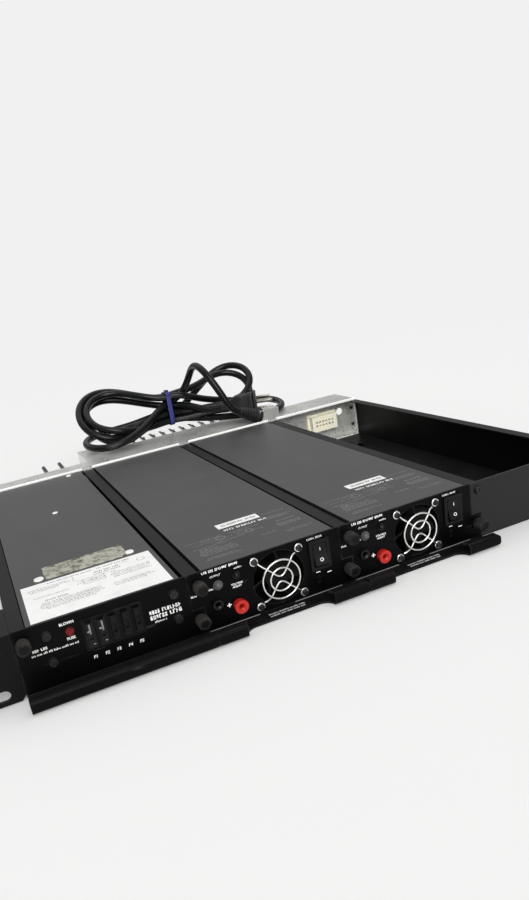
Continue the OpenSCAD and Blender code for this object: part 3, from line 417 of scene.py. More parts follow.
def finishUp(base, rough, bump=None, **values):
    # colour, roughness, bump and plain values go into the shader; bump is height, strength and depth
    shader = work["shader"]
    feed(shader, "Base Color", base)
    feed(shader, "Roughness", rough)
    if bump:
        height, strength, deep = bump
        raised = put("Bump", {"Strength": strength, "Distance": deep, "Height": height})
        feed(shader, "Normal", raised.outputs[0])
    inputs = {"gloss": "Specular IOR Level", "metal": "Metallic", "clear": "Transmission Weight",
              "bends": "IOR", "soft": "Subsurface Weight", "softDeep": "Subsurface Scale"}
    for key, value in values.items():
        feed(shader, inputs[key], value)
    return work["finish"]


hairline = 0.0002   # depth of the finest bump
boldline = 0.0003


def paintFinish(name, colour, rough, gloss, grain=0.12, fine=1400, dust=0.2, worn=0.5, bare=(0.22,) * 3):
    # sprayed paint on sheet steel, with dust on what faces up, rubbed edges and fine scratches
    newFinish(name)
    where = place()
    patches = mottle(where, 9, 4)
    scratch = ranged(mottle(place((25, 900, 400), (0.2, 0.1, 0.6)), 1.0, 2), 0.70, 0.76)
    base = blended(ranged(patches, 0.3, 0.75), colour, [min(1, c * 1.35 + 0.002) for c in colour])
    dusty = times(upMask(), ranged(mottle(where, 30, 5), 0.42, 0.75, 0.03, dust))
    base = blended(dusty, base, (0.19, 0.185, 0.175))
    base = blended(times(scratch, 0.10), base, (0.25, 0.25, 0.25))
    rubbed = times(edgeMask(0.0005, 4.0), ranged(mottle(where, 120, 3), 0.45, 0.7, 0.1, worn), True)
    shine = plus(ranged(patches, 0.25, 0.75, rough - 0.06, rough + 0.07), times(dusty, 0.5))
    return finishUp(blended(rubbed, base, bare), shine, (mottle(where, fine, 2), grain, boldline), gloss=gloss)


def knurlSheenFinish(name):
    # black paint; the knurled side gets a painted grey sheen with a rubbed mottle, the face is left dark, and the
    # corners get a painted highlight
    newFinish(name)
    where = place()
    # painted sheen: the knurled side, turned away from the front, is lighter than the face
    side = ranged(normalAlong(1), -0.85, -0.35)
    rubbed = ranged(mottle(where, 160, 4), 0.35, 0.7, 0.35, 1.0)
    base = blended(times(side, rubbed), (0.0025, 0.0025, 0.0025), (0.058, 0.053, 0.048))
    # painted highlight on the corners
    base = blended(times(edgeMask(0.0004, 2.0), 0.3), base, (0.12, 0.115, 0.11))
    return finishUp(base, ranged(rubbed, 0.3, 1.0, 0.3, 0.45), (mottle(where, 1500, 2), 0.08, hairline), gloss=0.15)


def zincFinish(name):
    # galvanised sheet, with the flower pattern of the zinc, a dull bloom and a painted highlight on its corners
    newFinish(name)
    where = place()
    stray = put("TexNoise", {"Vector": where, "Scale": 120.0}).outputs["Color"]
    stray = put("VectorMath", {0: stray, 1: (0.004, 0.004, 0.004)}, operation="MULTIPLY").outputs[0]
    warped = put("VectorMath", {0: where, 1: stray}, operation="ADD").outputs[0]
    cells = put("TexVoronoi", {"Vector": warped, "Scale": 140.0}, feature="F1").outputs["Color"]
    spangle = put("SeparateColor", {0: cells}).outputs[0]
    cloud = mottle(where, 14, 5, 0.6)
    brushed = mottle(place((30, 700, 700)), 1.0, 3)
    base = ramp(plus(times(spangle, 0.12), times(cloud, 0.78)), 0.2, (0.60, 0.60, 0.575), 0.75, (0.86, 0.86, 0.825))
    # painted highlight: the corners of the sheet turn near white
    base = blended(edgeMask(0.0006, 3.0), base, (0.85, 0.85, 0.84))
    shine = plus(ranged(spangle, 0.0, 1.0, 0.24, 0.29), ranged(cloud, 0.4, 0.8, 0.0, 0.16))
    return finishUp(base, shine, (plus(brushed, times(spangle, 0.2)), 0.008, boldline), metal=0.62)


def metalFinish(name, colour, rough, tarnish=(0.25, 0.24, 0.22), dull=0.25, scale=260):
    # plated or bare metal, a little dulled in patches
    newFinish(name)
    where = place()
    patch = mottle(where, scale, 4)
    return finishUp(blended(ranged(patch, 0.45, 0.8, 0.0, dull), colour, tarnish),
                    ranged(patch, 0.3, 0.8, rough, rough + 0.2), (mottle(where, scale * 5, 2), 0.04, hairline),
                    metal=1.0)


def mouldedFinish(name, colour, rough, gloss=0.5, grain=0.06, fine=1800, dust=0.12, pale=None, **soft):
    # moulded plastic or rubber, with its own fine texture, dust and lighter corners
    newFinish(name)
    where = place()
    patch = mottle(where, 60, 4)
    pale = pale or [min(1, c * 1.3 + 0.01) for c in colour]
    base = blended(ranged(patch, 0.3, 0.8, 0.0, 0.8), colour, pale)
    dusty = times(upMask(), ranged(mottle(where, 200, 4), 0.4, 0.8, 0.02, dust))
    base = blended(dusty, base, (0.3, 0.29, 0.27))
    base = blended(times(edgeMask(0.0004, 2.5), 0.35), base, pale)
    return finishUp(base, ranged(patch, 0.25, 0.8, rough - 0.05, rough + 0.1),
                    (mottle(where, fine, 2), grain, hairline),
                    gloss=gloss, **soft)


def splitFinish(name, edgeX, leftColour, rightColour, rough, gloss):
    # one moulded finish that changes colour where one small part ends and the next begins
    newFinish(name)
    where = put("TexCoord").outputs["Object"]
    right = sums("GREATER_THAN", put("SeparateXYZ", {0: where}).outputs[0], edgeX)
    patch = mottle(where, 300, 3)
    base = blended(right, leftColour, rightColour)
    base = blended(ranged(patch, 0.4, 0.8, 0.0, 0.35), base, (0.3, 0.25, 0.22), "SOFT_LIGHT")
    base = blended(times(edgeMask(0.0004, 2.5), 0.3), base, (0.8, 0.6, 0.5), "OVERLAY")
    return finishUp(base, ranged(patch, 0.3, 0.8, rough, rough + 0.12), (mottle(where, 2000, 2), 0.04, hairline),
                    gloss=gloss)


def lensFinish(name, colour, rough, clear, deep):
    # tinted clear plastic
    newFinish(name)
    patch = mottle(place(), 500, 3)
    return finishUp(blended(ranged(patch, 0.35, 0.75), deep, colour), ranged(patch, 0.3, 0.8, rough, rough + 0.1),
                    clear=clear, bends=1.49, gloss=0.12)


def paperFinish(name, colour, stained, rough=0.6, scale=70):
    # label stock or ink: fibres, a little soiling, a faint curl in its surface
    newFinish(name)
    where = place()
    patch = mottle(where, scale, 5, 0.6)
    return finishUp(blended(ranged(patch, 0.45, 0.8), colour, stained),
                    ranged(patch, 0.3, 0.8, rough - 0.1, rough + 0.1), (mottle(where, 900, 3), 0.05, hairline))


def foilFinish(name):
    # crumpled silver sticker with torn, dirty patches
    newFinish(name)
    where = place()
    crease = put("TexVoronoi", {"Vector": where, "Scale": 330.0}, feature="DISTANCE_TO_EDGE").outputs[0]
    cloud = mottle(where, 170, 6, 0.7)
    base = ramp(cloud, 0.36, (0.10, 0.095, 0.07), 0.56, (0.52, 0.51, 0.43))
    return finishUp(base, ranged(cloud, 0.3, 0.7, 0.55, 0.3), (plus(ranged(crease, 0.0, 0.25), cloud), 0.5, 0.0008),
                    metal=0.45)


def cordFinish(name):
    # cord jacket: scuffs, a fine grain and dust on top
    newFinish(name)
    where = place()
    scuff = mottle(where, 45, 5, 0.65)
    grain = mottle(where, 900, 3)
    base = blended(ranged(scuff, 0.35, 0.75), (0.002, 0.0023, 0.0026), (0.006, 0.0066, 0.007))
    base = blended(times(upMask(), ranged(grain, 0.45, 0.8, 0.0, 0.06)), base, (0.22, 0.22, 0.22))
    return finishUp(base, ranged(scuff, 0.3, 0.8, 0.22, 0.34), (plus(grain, scuff), 0.15, 0.0004), gloss=0.24)


finishes = {
    "black_paint": paintFinish("blackShelfPaint", (0.0012, 0.0012, 0.0014), 0.42, 0.13, dust=0.015, worn=0.2),
    "blank_paint": paintFinish("blankPanelPaint", (0.008, 0.008, 0.008), 0.48, 0.26, dust=0.06),
    "panel_black": paintFinish("panelPaint", (0.0008, 0.0008, 0.001), 0.42, 0.07, dust=0.02, worn=0.4),
    "case_black": paintFinish("coverPaint", (0.013, 0.013, 0.0135), 0.36, 0.66, grain=0.20, fine=1100,
                              dust=0.08, worn=0.25),
    "black_screws": paintFinish("screwBlack", (0.003, 0.003, 0.003), 0.30, 0.25, grain=0.05, bare=(0.25,) * 3),
    "thumb_black": knurlSheenFinish("thumbBlack"),
    "galvanised": zincFinish("zincSheet"),
    "cream_plastic": mouldedFinish("creamNylon", (0.92, 0.88, 0.70), 0.40, pale=(0.95, 0.92, 0.78), dust=0.03,
                                   soft=0.2, softDeep=0.002),
    "terminal_black": mouldedFinish("terminalPlastic", (0.018, 0.018, 0.018), 0.5),
    "relief_rubber": mouldedFinish("reliefRubber", (0.007, 0.007, 0.0075), 0.5, 0.35),
    "cord_rubber": cordFinish("cordJacket"),
    "blue_tie": mouldedFinish("blueStrap", (0.012, 0.014, 0.11), 0.42, grain=0.5, fine=1500,
                              pale=(0.05, 0.055, 0.30)),
    "fuse_block_black": mouldedFinish("fuseBlockPlastic", (0.002,) * 3, 0.42, 0.15, pale=(0.008,) * 3),
    "clear_fuse": lensFinish("clearFuse", (0.006, 0.0065, 0.0065), 0.16, 0.3, (0.006, 0.006, 0.006)),
    "dark_fuse": lensFinish("smokedFuse", (0.004, 0.0036, 0.004), 0.2, 0.15, (0.002, 0.002, 0.002)),
    "red_lens": lensFinish("redLens", (0.24, 0.012, 0.008), 0.16, 0.3, (0.07, 0.003, 0.002)),
    "copper": metalFinish("bareCopper", (0.80, 0.42, 0.26), 0.28, (0.30, 0.15, 0.08)),
    "plug_black": mouldedFinish("plugPlastic", (0.007, 0.007, 0.0075), 0.45, 0.35),
    "fan_black": mouldedFinish("fanPlastic", (0.002, 0.002, 0.0025), 0.42, 0.15, dust=0.04, pale=(0.006,) * 3),
    "guard_wire": metalFinish("platedWire", (0.95, 0.94, 0.91), 0.24, (0.70, 0.68, 0.62)),
    "switch_black": mouldedFinish("switchPlastic", (0.0015, 0.0015, 0.002), 0.28, 0.15, dust=0.06,
                                  pale=(0.012, 0.012, 0.013)),
    "lamp_grey": mouldedFinish("lampGrey", (0.20, 0.20, 0.19), 0.3),
    "jack_red": mouldedFinish("jackRed", (0.60, 0.03, 0.02), 0.25),
    "board_green": mouldedFinish("boardGreen", (0.02, 0.12, 0.05), 0.4),
}
inkFinish = paperFinish("whiteInk", (0.95, 0.95, 0.93), (0.80, 0.80, 0.78), 0.55)
faintInkFinish = paperFinish("fadedInk", (0.25, 0.25, 0.24), (0.12, 0.12, 0.12), 0.55, 400)
greyInkFinish = paperFinish("greyInk", (0.07, 0.07, 0.07), (0.20, 0.19, 0.18), 0.6, 300)
labelFinish = paperFinish("labelPaper", (0.88, 0.88, 0.87), (0.76, 0.76, 0.74), 0.5)
foilStickerFinish = foilFinish("tornFoil")
glintFinish = metalFinish("tinnedClip", (0.30, 0.30, 0.29), 0.25)
rivetFinish = mouldedFinish("paleRivet", (0.80, 0.80, 0.77), 0.35, 0.6)
# near-white strips that paint the highlight on the zinc sheet's cut edges
zincHighlightFinish = mouldedFinish("paintedZincHighlight", (0.90, 0.90, 0.87), 0.3, 0.8, dust=0.04, pale=(0.95, 0.95, 0.93))
bladeFinish = metalFinish("plugBlade", (0.30, 0.29, 0.26), 0.28)
# grey paint that stands in for the highlight on the fold below each front plate
foldHighlightFinish = paintFinish("paintedFoldHighlight", (0.19, 0.19, 0.19), 0.35, 0.6)
# dark metal that paints the shade on the sheet between the vents
toothShadeFinish = metalFinish("sheetInShade", (0.07, 0.07, 0.065), 0.4)

rectifiers = {1: -0.10795, 2: 0.0}   # left end of each rectifier's bay
for number, left in rectifiers.items():
    # black jack and red jack, grey dome lamp and the dark ones
    finishes["jack" + str(number)] = splitFinish("jackPlastic" + str(number), left + 0.0195, (0.004,) * 3,
                                                 (0.45, 0.018, 0.012), 0.24, 0.35)
    finishes["lamp" + str(number)] = splitFinish("lampPlastic" + str(number), left + 0.0215, (0.08, 0.08, 0.078),
                                                 (0.003,) * 3, 0.26, 0.35)

for name, node in nodes.items():
    for spot in node.material_slots:
        wanted = spot.material.name.split(".")[0] if spot.material else ""
        if name.endswith("test_jacks"):
            wanted = "jack" + name[4]
        if name.endswith("lamps"):
            wanted = "lamp" + name[4]
        if wanted not in finishes:
            print("no finish for", name, wanted)
            wanted = "black_paint"
        spot.material = finishes[wanted]
print("finishes done")




def rowY(y):
    # depth in millimetres behind the front panels, in the row's frame
    return (y - 200) / 1000


# ---- cord, tie, plug and strain relief ----

def curvePiece(name, points, radius, around, closed=False):
    # a round wire along the points
    line = bpy.data.curves.new(name, "CURVE")
    line.dimensions = "3D"
    line.bevel_depth = radius
    line.bevel_resolution = around
    line.use_fill_caps = not closed
    strand = line.splines.new("POLY")
    strand.points.add(len(points) - 1)
    strand.use_cyclic_u = closed
    for spot, point in zip(strand.points, points):
        spot.co = (*point, 1)
    piece = bpy.data.objects.new(name, line)
    bpy.context.scene.collection.objects.link(piece)
    return piece


def tubeCord():
    piece = curvePiece("powerCord", cordLine, powerCord["thick"] / 2, 5)
    piece.data.splines[0].use_smooth = True
    piece.data.materials.append(finishes["cord_rubber"])
    return piece


strap = {"wide": 0.0052, "thick": 0.0011, "lead": 0.0004, "head": (0.0064, 0.0045, 0.0030), "tail": 0.010}


def hullRound(points):
    # corners of the outline that a tight strap takes, anticlockwise
    points = sorted(points)
    def half(order):
        chain = []
        for p in order:
            while len(chain) > 1 and ((chain[-1][0] - chain[-2][0]) * (p[1] - chain[-2][1])
                                      - (chain[-1][1] - chain[-2][1]) * (p[0] - chain[-2][0])) <= 0:
                chain.pop()
            chain.append(p)
        return chain[:-1]
    return half(points) + half(points[::-1])


def strapTie():
    # the strap follows the outside of the strands that pass under it
    around = []
    for one, two in zip(cordLine, cordLine[1:]):
        if (one[0] - powerCord["tieX"]) * (two[0] - powerCord["tieX"]) <= 0 and one[0] != two[0]:
            share = (powerCord["tieX"] - one[0]) / (two[0] - one[0])
            y, z = (one + share * (two - one))[1:]
            reach = powerCord["thick"] / 2 + strap["lead"]
            around += [(y + reach * math.cos(k * math.tau / 16), z + reach * math.sin(k * math.tau / 16))
                       for k in range(16)]
    ring = hullRound(around)
    letGo()
    bpy.ops.mesh.primitive_circle_add(vertices=len(ring), radius=0.02)
    band = bpy.context.object
    for spot, (y, z) in zip(band.data.vertices, ring):
        spot.co = (powerCord["tieX"] - strap["wide"] / 2, y, z)
    meshMode()
    bpy.ops.mesh.select_all(action="SELECT")
    for step in range(4):
        bpy.ops.mesh.extrude_region_move(TRANSFORM_OT_translate={"value": (strap["wide"] / 4, 0, 0)})
    bpy.ops.mesh.select_all(action="SELECT")
    bpy.ops.mesh.normals_make_consistent(inside=False)
    objectMode()
    useModifier(band, "SOLIDIFY", thickness=strap["thick"], offset=1)
    useModifier(band, "BEVEL", width=0.0003, segments=2, limit_method="ANGLE", angle_limit=0.9)
    # buckle on the front of the bundle, and the loose end past it
    front = min(ring, key=lambda p: p[0] - 0.25 * p[1])
    headLow = (powerCord["tieX"] - strap["head"][0] / 2, front[0] - strap["head"][2] * 0.75, front[1])
    head = boxPiece("tieHead", headLow, (headLow[0] + strap["head"][0], headLow[1] + strap["head"][2],
                                         headLow[2] + strap["head"][1]), 0.0008, 3)
    top = max(ring, key=lambda p: p[1])
    tail = boxPiece("tieTail", (powerCord["tieX"] - strap["wide"] / 2, top[0] - 0.001, top[1]),
                    (powerCord["tieX"] + strap["wide"] / 2, top[0] + 0.0005, top[1] + strap["tail"] * 0.35), 0.0004)
    pick(tail)
    meshMode()
    selectWhere(tail, "faces", lambda face: face.normal.z > 0.9)
    bpy.ops.transform.translate(value=(-0.003, -0.004, 0.001))
    objectMode()
    return joinUp("cordTie", [band, head, tail])


plug = {"boot": 0.013, "body": (0.012, 0.038), "tall": 0.021, "wide": 0.025, "flange": (0.038, 0.041),
        "blade": 0.017, "bladeApart": 0.0125}


def cordPlugPiece():
    # built along X from the cord, then turned to lie in front of the hank
    parts = []
    ribs = [(0.0042, 0.0), (0.0052, 0.0)]
    for k in range(4):
        start = 0.001 + k * 0.003
        ribs += [(0.0053 + 0.0006 * k, start), (0.0053 + 0.0006 * k, start + 0.0019),
                 (0.0047 + 0.0006 * k, start + 0.002), (0.0047 + 0.0006 * k, start + 0.0029)]
    ribs += [(0.0075, plug["boot"]), (0.0, plug["boot"])]
    parts.append(turnedPiece("plugBoot", ribs, (0, 0, 0), "X", 28))
    body = boxPiece("plugBody", (plug["body"][0], -plug["wide"] / 2, -plug["tall"] / 2),
                    (plug["body"][1], plug["wide"] / 2, plug["tall"] / 2))
    pick(body)
    meshMode()
    bpy.ops.mesh.select_all(action="SELECT")
    bpy.ops.mesh.subdivide(number_cuts=5)
    shell = bmesh.from_edit_mesh(body.data)
    for spot in shell.verts:
        along = (spot.co.x - plug["body"][0]) / (plug["body"][1] - plug["body"][0])
        slim = 0.66 + 0.34 * max(0, min(1, along * 2.2)) ** 0.6 - 0.10 * math.exp(-((along - 0.62) / 0.16) ** 2)
        spot.co.y *= slim
        spot.co.z *= slim
    bmesh.update_edit_mesh(body.data)
    objectMode()
    useModifier(body, "BEVEL", width=0.003, segments=4, limit_method="ANGLE", angle_limit=1.0)
    parts.append(body)
    parts.append(boxPiece("plugFlange", (plug["flange"][0], -0.0135, -0.0115), (plug["flange"][1], 0.0135, 0.0115),
                          0.0012, 3))
    for k in range(5):   # grip ribs on both flat sides
        x = plug["body"][0] + 0.0125 + k * 0.0021
        for side in (-1, 1):
            parts.append(boxPiece("grip", (x, -0.0065, side * 0.0088 - 0.0006),
                                  (x + 0.001, 0.0065, side * 0.0088 + 0.0006),
                                  0.0003))
    case = joinUp("cordPlug", parts)
    blades = []
    for side in (-1, 1):
        y = side * plug["bladeApart"] / 2
        blade = boxPiece("blade", (plug["flange"][1] - 0.001, y - 0.00075, -0.0005),
                         (plug["flange"][1] + plug["blade"] - 0.001, y + 0.00075, 0.0058), 0.0004)
        blades.append(blade)
    blades.append(turnedPiece("earthPin", [(0, -0.001), (0.0024, -0.001), (0.0024, 0.0155), (0.0021, 0.0175),
                                           (0.0012, 0.0188), (0, 0.019)], (plug["flange"][1], 0, -0.0055), "X", 20))
    pins = joinUp("plugPins", blades)
    for piece in (case, pins):
        piece.rotation_euler = (math.radians(84), 0, math.atan2(powerCord["plugWay"][1], powerCord["plugWay"][0]))
        piece.location = powerCord["plugStart"]
        settleIn(piece)
    return case, pins


relief = {"foot": (0.095, 0.1385, 0.0503), "lean": 25, "long": 0.024}


def reliefPiece():
    profile = [(0.0, -0.002), (0.0095, -0.002), (0.0098, -0.0012), (0.0098, 0.0012), (0.0082, 0.0018)]
    for k in range(6):
        low = 0.003 + k * 0.0033
        wide = 0.0080 - 0.00042 * k
        profile += [(wide, low), (wide, low + 0.0018), (wide - 0.0012, low + 0.0021), (wide - 0.0012, low + 0.0031)]
    profile += [(0.0052, relief["long"] - 0.0008), (0.0047, relief["long"]), (0.0040, relief["long"])]
    letGo()
    piece = turnedPiece("strainRelief", profile, (0, 0, 0), "Z", 32)
    way = Vector((-math.cos(math.radians(relief["lean"])), 0, math.sin(math.radians(relief["lean"]))))
    piece.rotation_euler = way.to_track_quat("Z", "Y").to_euler()
    piece.location = relief["foot"]
    return settleIn(piece)


cord = tubeCord()
tie = dress(strapTie(), "shelf", finishes["blue_tie"])
plugCase, plugPins = cordPlugPiece()
dress(plugCase, "shelf", finishes["plug_black"])
dress(plugPins, "shelf", bladeFinish)
reliefRibs = dress(reliefPiece(), "shelf", finishes["relief_rubber"])
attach(cord, "shelf")
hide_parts("power_cord", "cord_hank")
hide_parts("cord_tie")
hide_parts("cord_plug")
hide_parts("strain_relief")
print("cord, tie and plug made")


# ---- rear box, painted highlights on the channel edge and folds, thumbscrews and fan guards ----

firstBay, bayPitch = -0.2159, 0.10795
channelHighlight = {"y": (329.4, 331.2), "low": 0.0424, "high": 0.0453}


def makeChannelHighlight():
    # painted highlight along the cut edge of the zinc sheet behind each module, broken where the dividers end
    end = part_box("rear_channel")[1][0]
    # painted highlight along the sheet's cut edges round the empty bay
    strips = [boxPiece("edge", (x0, rowY(329.4), z0), (x1, rowY(330.6), z1), 0.0003)
              for x0, x1, z0, z1 in ((0.1135, end - 0.0018, 0.0009, 0.0019),
                                     (end - 0.0036, end - 0.0022, 0.0012, 0.0415))]
    for bay in range(4):
        start = firstBay + bayPitch * bay
        x0 = start + (0.0052 if bay else -0.0030)
        x1 = start + (0.10275 if bay < 3 else 0.1110)
        strips.append(boxPiece("edge", (x0, rowY(channelHighlight["y"][0]), channelHighlight["low"]),
                               (x1, rowY(channelHighlight["y"][1]), channelHighlight["high"]), 0.0007, 3))
    dress(joinUp("channelHighlight", strips), "shelf", zincHighlightFinish)


boxVents = {"first": -0.058, "pitch": 0.0126, "wide": 0.009, "count": 12, "y": (394.0, 421.0)}


def makeRearBox():
    # the zinc box once more, with its vents cut to their full length
    node = nodes["rear_box"]
    copy = bpy.data.objects.new("rearBox", node.data.copy())
    bpy.context.scene.collection.objects.link(copy)
    pick(copy)
    meshMode()
    bpy.ops.mesh.select_all(action="SELECT")
    bpy.ops.mesh.remove_doubles(threshold=1e-6)
    bpy.ops.mesh.normals_make_consistent(inside=False)
    objectMode()
    cutters = []
    for k in range(boxVents["count"]):
        x = boxVents["first"] + boxVents["pitch"] * k
        cutters.append(boxPiece("cut", (x - boxVents["wide"] / 2, rowY(boxVents["y"][0]), 0.0416),
                                (x + boxVents["wide"] / 2, rowY(boxVents["y"][1]), 0.0440)))
    cutter = joinUp("ventCuts", cutters)
    useModifier(copy, "BOOLEAN", object=cutter, operation="DIFFERENCE", solver="EXACT")
    bpy.data.objects.remove(cutter)
    pick(copy)
    bpy.ops.mesh.customdata_custom_splitnormals_clear()
    bpy.ops.object.shade_flat()
    dress(copy, "shelf", finishes["galvanised"], angle=0)
    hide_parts("rear_box")
    # dark strips on the bent ends of the sheet between the vents: painted shade
    teeth = []
    for k in range(boxVents["count"] - 1):
        x = boxVents["first"] + boxVents["pitch"] * (k + 0.5)
        teeth.append(boxPiece("tooth", (x - 0.0014, rowY(boxVents["y"][0]) + 0.003, 0.0430),
                              (x + 0.0014, rowY(boxVents["y"][1]) - 0.002, 0.0438), 0.0003))
    dress(joinUp("ventToothShade", teeth), "shelf", toothShadeFinish)


def makeFoldHighlights():
    # painted highlight along the fold between each front plate and its ledge
    for number, left in rectifiers.items():
        strips = [boxPiece("fold", (left + start, rowY(-0.6), 0.00150), (left + end, rowY(0.05), 0.00205), 0.00015, 1)
                  for start, end in ((0.0045, 0.0395), (0.0655, 0.1015))]
        dress(joinUp("foldHighlight" + str(number), strips), "rectifier_" + str(number), foldHighlightFinish)


thumb = {"head": 0.0043, "teeth": 36, "out": -9.4, "back": -1.6, "neck": 0.0027, "shaft": 0.0017}


def makeThumb(name):
    # knurled head with a dished face on a plain neck
    low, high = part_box(name)
    x, z = (low[0] + high[0]) / 2, (low[2] + high[2]) / 2
    front, back = rowY(thumb["out"]), rowY(thumb["back"])
    letGo()
    bpy.ops.mesh.primitive_cylinder_add(vertices=thumb["teeth"] * 2, radius=thumb["head"], depth=back - front,
                                        location=(x, (front + back) / 2, z), rotation=(math.radians(90), 0, 0))
    head = settleIn(bpy.context.object)
    for spot in head.data.vertices:
        angle = math.atan2(spot.co.z - z, spot.co.x - x)
        if round(angle / math.tau * thumb["teeth"] * 2) % 2:
            spot.co.x = x + (spot.co.x - x) * 0.945
            spot.co.z = z + (spot.co.z - z) * 0.945
    meshMode()
    selectWhere(head, "faces", lambda face: face.normal.y < -0.9)
    bpy.ops.transform.translate(value=(0, 0.0009, 0))
    bpy.ops.mesh.extrude_region_move(TRANSFORM_OT_translate={"value": (0, -0.0009, 0)})
    bpy.ops.transform.resize(value=(0.80, 1, 0.80))
    bpy.ops.mesh.inset(thickness=0.0006)
    bpy.ops.mesh.extrude_region_move(TRANSFORM_OT_translate={"value": (0, 0.0005, 0)})
    objectMode()
    neck = turnedPiece("neck", [(0, 0), (thumb["shaft"], 0), (thumb["shaft"], high[1] - back - 0.0008),
                                (thumb["neck"], high[1] - back - 0.0008), (thumb["neck"], high[1] - back + 0.0002),
                                (0, high[1] - back + 0.0002)], (x, high[1], z), "Y", 20)
    knob = joinUp("knob_" + name, [head, neck])
    dress(knob, name, finishes["thumb_black"], angle=28)
    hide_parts(name)


fanGuard = {"outer": 0.0133, "inner": 0.0078, "wire": 0.00062, "ringY": -3.9, "eye": 0.0160, "eyeY": -0.75,
            "eyeRing": 0.0024, "middle": (0.057, 0.0227)}


def wirePiece(name, points, closed=False):
    pick(curvePiece(name, points, fanGuard["wire"], 3, closed))
    bpy.ops.object.convert(target="MESH")
    return bpy.context.object


def circlePoints(x, y, z, radius, count, start=0.0):
    return [(x + radius * math.cos(start + a * math.tau / count), y,
             z + radius * math.sin(start + a * math.tau / count)) for a in range(count)]


def makeFanGuard(number, left):
    # two rings on two bowed wires, each wire ending in an eye under a screw
    x, z = left + fanGuard["middle"][0], fanGuard["middle"][1]
    parts = []
    for radius in (fanGuard["outer"], fanGuard["inner"]):
        parts.append(wirePiece("ring", circlePoints(x, rowY(fanGuard["ringY"]), z, radius, 72), True))
    for side in (1, -1):
        bow = [(-13.9, 14.2, -1.0), (-12.2, 12.2, -1.8), (-9.6, 9.8, -2.8), (-7.0, 7.5, -2.8), (-5.0, 5.5, -2.8),
               (-3.0, 3.4, -2.8), (-1.2, 2.2, -2.8), (0.4, 1.9, -2.8), (2.2, 2.6, -2.8), (4.2, 4.9, -2.8),
               (6.0, 7.4, -2.8), (8.0, 10.0, -2.8), (10.2, 12.4, -1.8), (12.9, 13.6, -1.0)]
        way = [(x + side * u / 1000, rowY(y), z + side * v / 1000) for u, v, y in bow]
        parts.append(wirePiece("bow", smoothLine(way, 0.0006)))
    for sx in (-1, 1):
        for sz in (-1, 1):
            loop = circlePoints(x + sx * fanGuard["eye"], rowY(fanGuard["eyeY"]), z + sz * fanGuard["eye"],
                                fanGuard["eyeRing"], 40, math.atan2(-sz, -sx))
            parts.append(wirePiece("eye", loop, True))
    guard = joinUp("fanGuard" + str(number), parts)
    dress(guard, "rectifier_" + str(number), finishes["guard_wire"], angle=60)
    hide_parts("rect" + str(number) + "_fan_guard")


# ---- print and labels ----

def standUp(piece):
    # a flat piece drawn from above turns to face the front
    piece.rotation_euler = (math.radians(90), 0, 0)


def stripes(name, bars, plane, level, deep=0.00008):
    # thin flat bars on a top (x, y) or a front (x, z), a little proud of it
    letGo()
    bpy.ops.mesh.primitive_plane_add(size=1)
    piece = bpy.context.object
    piece.name = name
    meshMode()
    bpy.ops.mesh.select_all(action="SELECT")
    bpy.ops.mesh.delete(type="VERT")
    for x0, y0, x1, y1 in bars:
        bpy.ops.mesh.primitive_plane_add(size=1, location=((x0 + x1) / 2, (y0 + y1) / 2, 0))
        bpy.ops.transform.resize(value=(x1 - x0, y1 - y0, 1))
    objectMode()
    useModifier(piece, "SOLIDIFY", thickness=deep, offset=1)
    if plane == "front":
        standUp(piece)
        piece.location = (0, level, 0)
    else:
        piece.location = (0, 0, level)
    return settleIn(piece)


def printLine(chance, left, length, low, tall, fine=False, heavy=0.17):
    # a line of small print too fine to read: strokes of uneven height in words of uneven length
    bars = []
    x = left
    while x < left + length:
        for letter in range(chance.randint(3, 8)):
            if x > left + length:
                break
            if fine:
                high = tall * chance.choice((0.65, 0.75, 1.0))
                bars.append((x, low, x + tall * 0.30, low + high))
                x += tall * 0.62
            else:
                wide = tall * chance.uniform(0.42, 0.62)
                stem = tall * heavy
                bars.append((x, low, x + stem, low + tall))
                level = low + chance.choice((0, 0.42, 0.83)) * tall
                bars.append((x, level, x + wide, level + stem))
                if chance.random() < 0.6:
                    bars.append((x + wide - stem, low, x + wide, low + tall))
                x += wide + tall * 0.2
        x += tall * 0.5
    return bars


def lettering(name, words, tall, where, bold=0.0, lean=0.0):
    # raised ink letters that face the front; where is the lower left corner
    letGo()
    bpy.ops.object.text_add(location=(0, 0, 0))
    piece = bpy.context.object
    piece.data.body = words
    piece.data.size = tall / 0.72
    piece.data.extrude = 0.00004
    piece.data.offset = bold
    piece.data.shear = lean
    piece.data.resolution_u = 4
    bpy.ops.object.convert(target="MESH")
    piece = bpy.context.object
    piece.name = name
    standUp(piece)
    piece.location = where
    return settleIn(piece)


makeChannelHighlight()
makeRearBox()
makeFoldHighlights()
for module in ("fuse", "rect1", "rect2"):
    for side in ("left", "right"):
        makeThumb(module + "_thumb_" + side)
for number, left in rectifiers.items():
    makeFanGuard(number, left)
print("rear box, thumbscrews and fan guards made")

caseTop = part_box("rect1_cover")[1][2]
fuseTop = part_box("fuse_cover")[1][2]
panelFace = rowY(0)   # the front panels' outer face


def discPiece(name, x, y, low, radius, tall):
    # a low rivet head on a top face
    dome = [(0, 0), (radius, 0), (radius, tall * 0.5), (radius * 0.94, tall * 0.9), (radius * 0.8, tall),
            (0, tall)]
    return turnedPiece(name, dome, (x, y, low), "Z", 24)


fuseLabel = {"x": (-0.2063, -0.1192), "y": (2.2, 59), "thick": 0.00014}


def diagramRings(name, spots, level, wire, flat):
    # flattened rings; spots are x, y and radius
    rings = []
    for x, y, radius in spots:
        letGo()
        bpy.ops.mesh.primitive_torus_add(location=(x, y, level), major_radius=radius, minor_radius=wire,
                                         major_segments=28, minor_segments=6)
        ring = bpy.context.object
        ring.scale = (1, 1, flat)
        rings.append(settleIn(ring))
    return joinUp(name, rings)


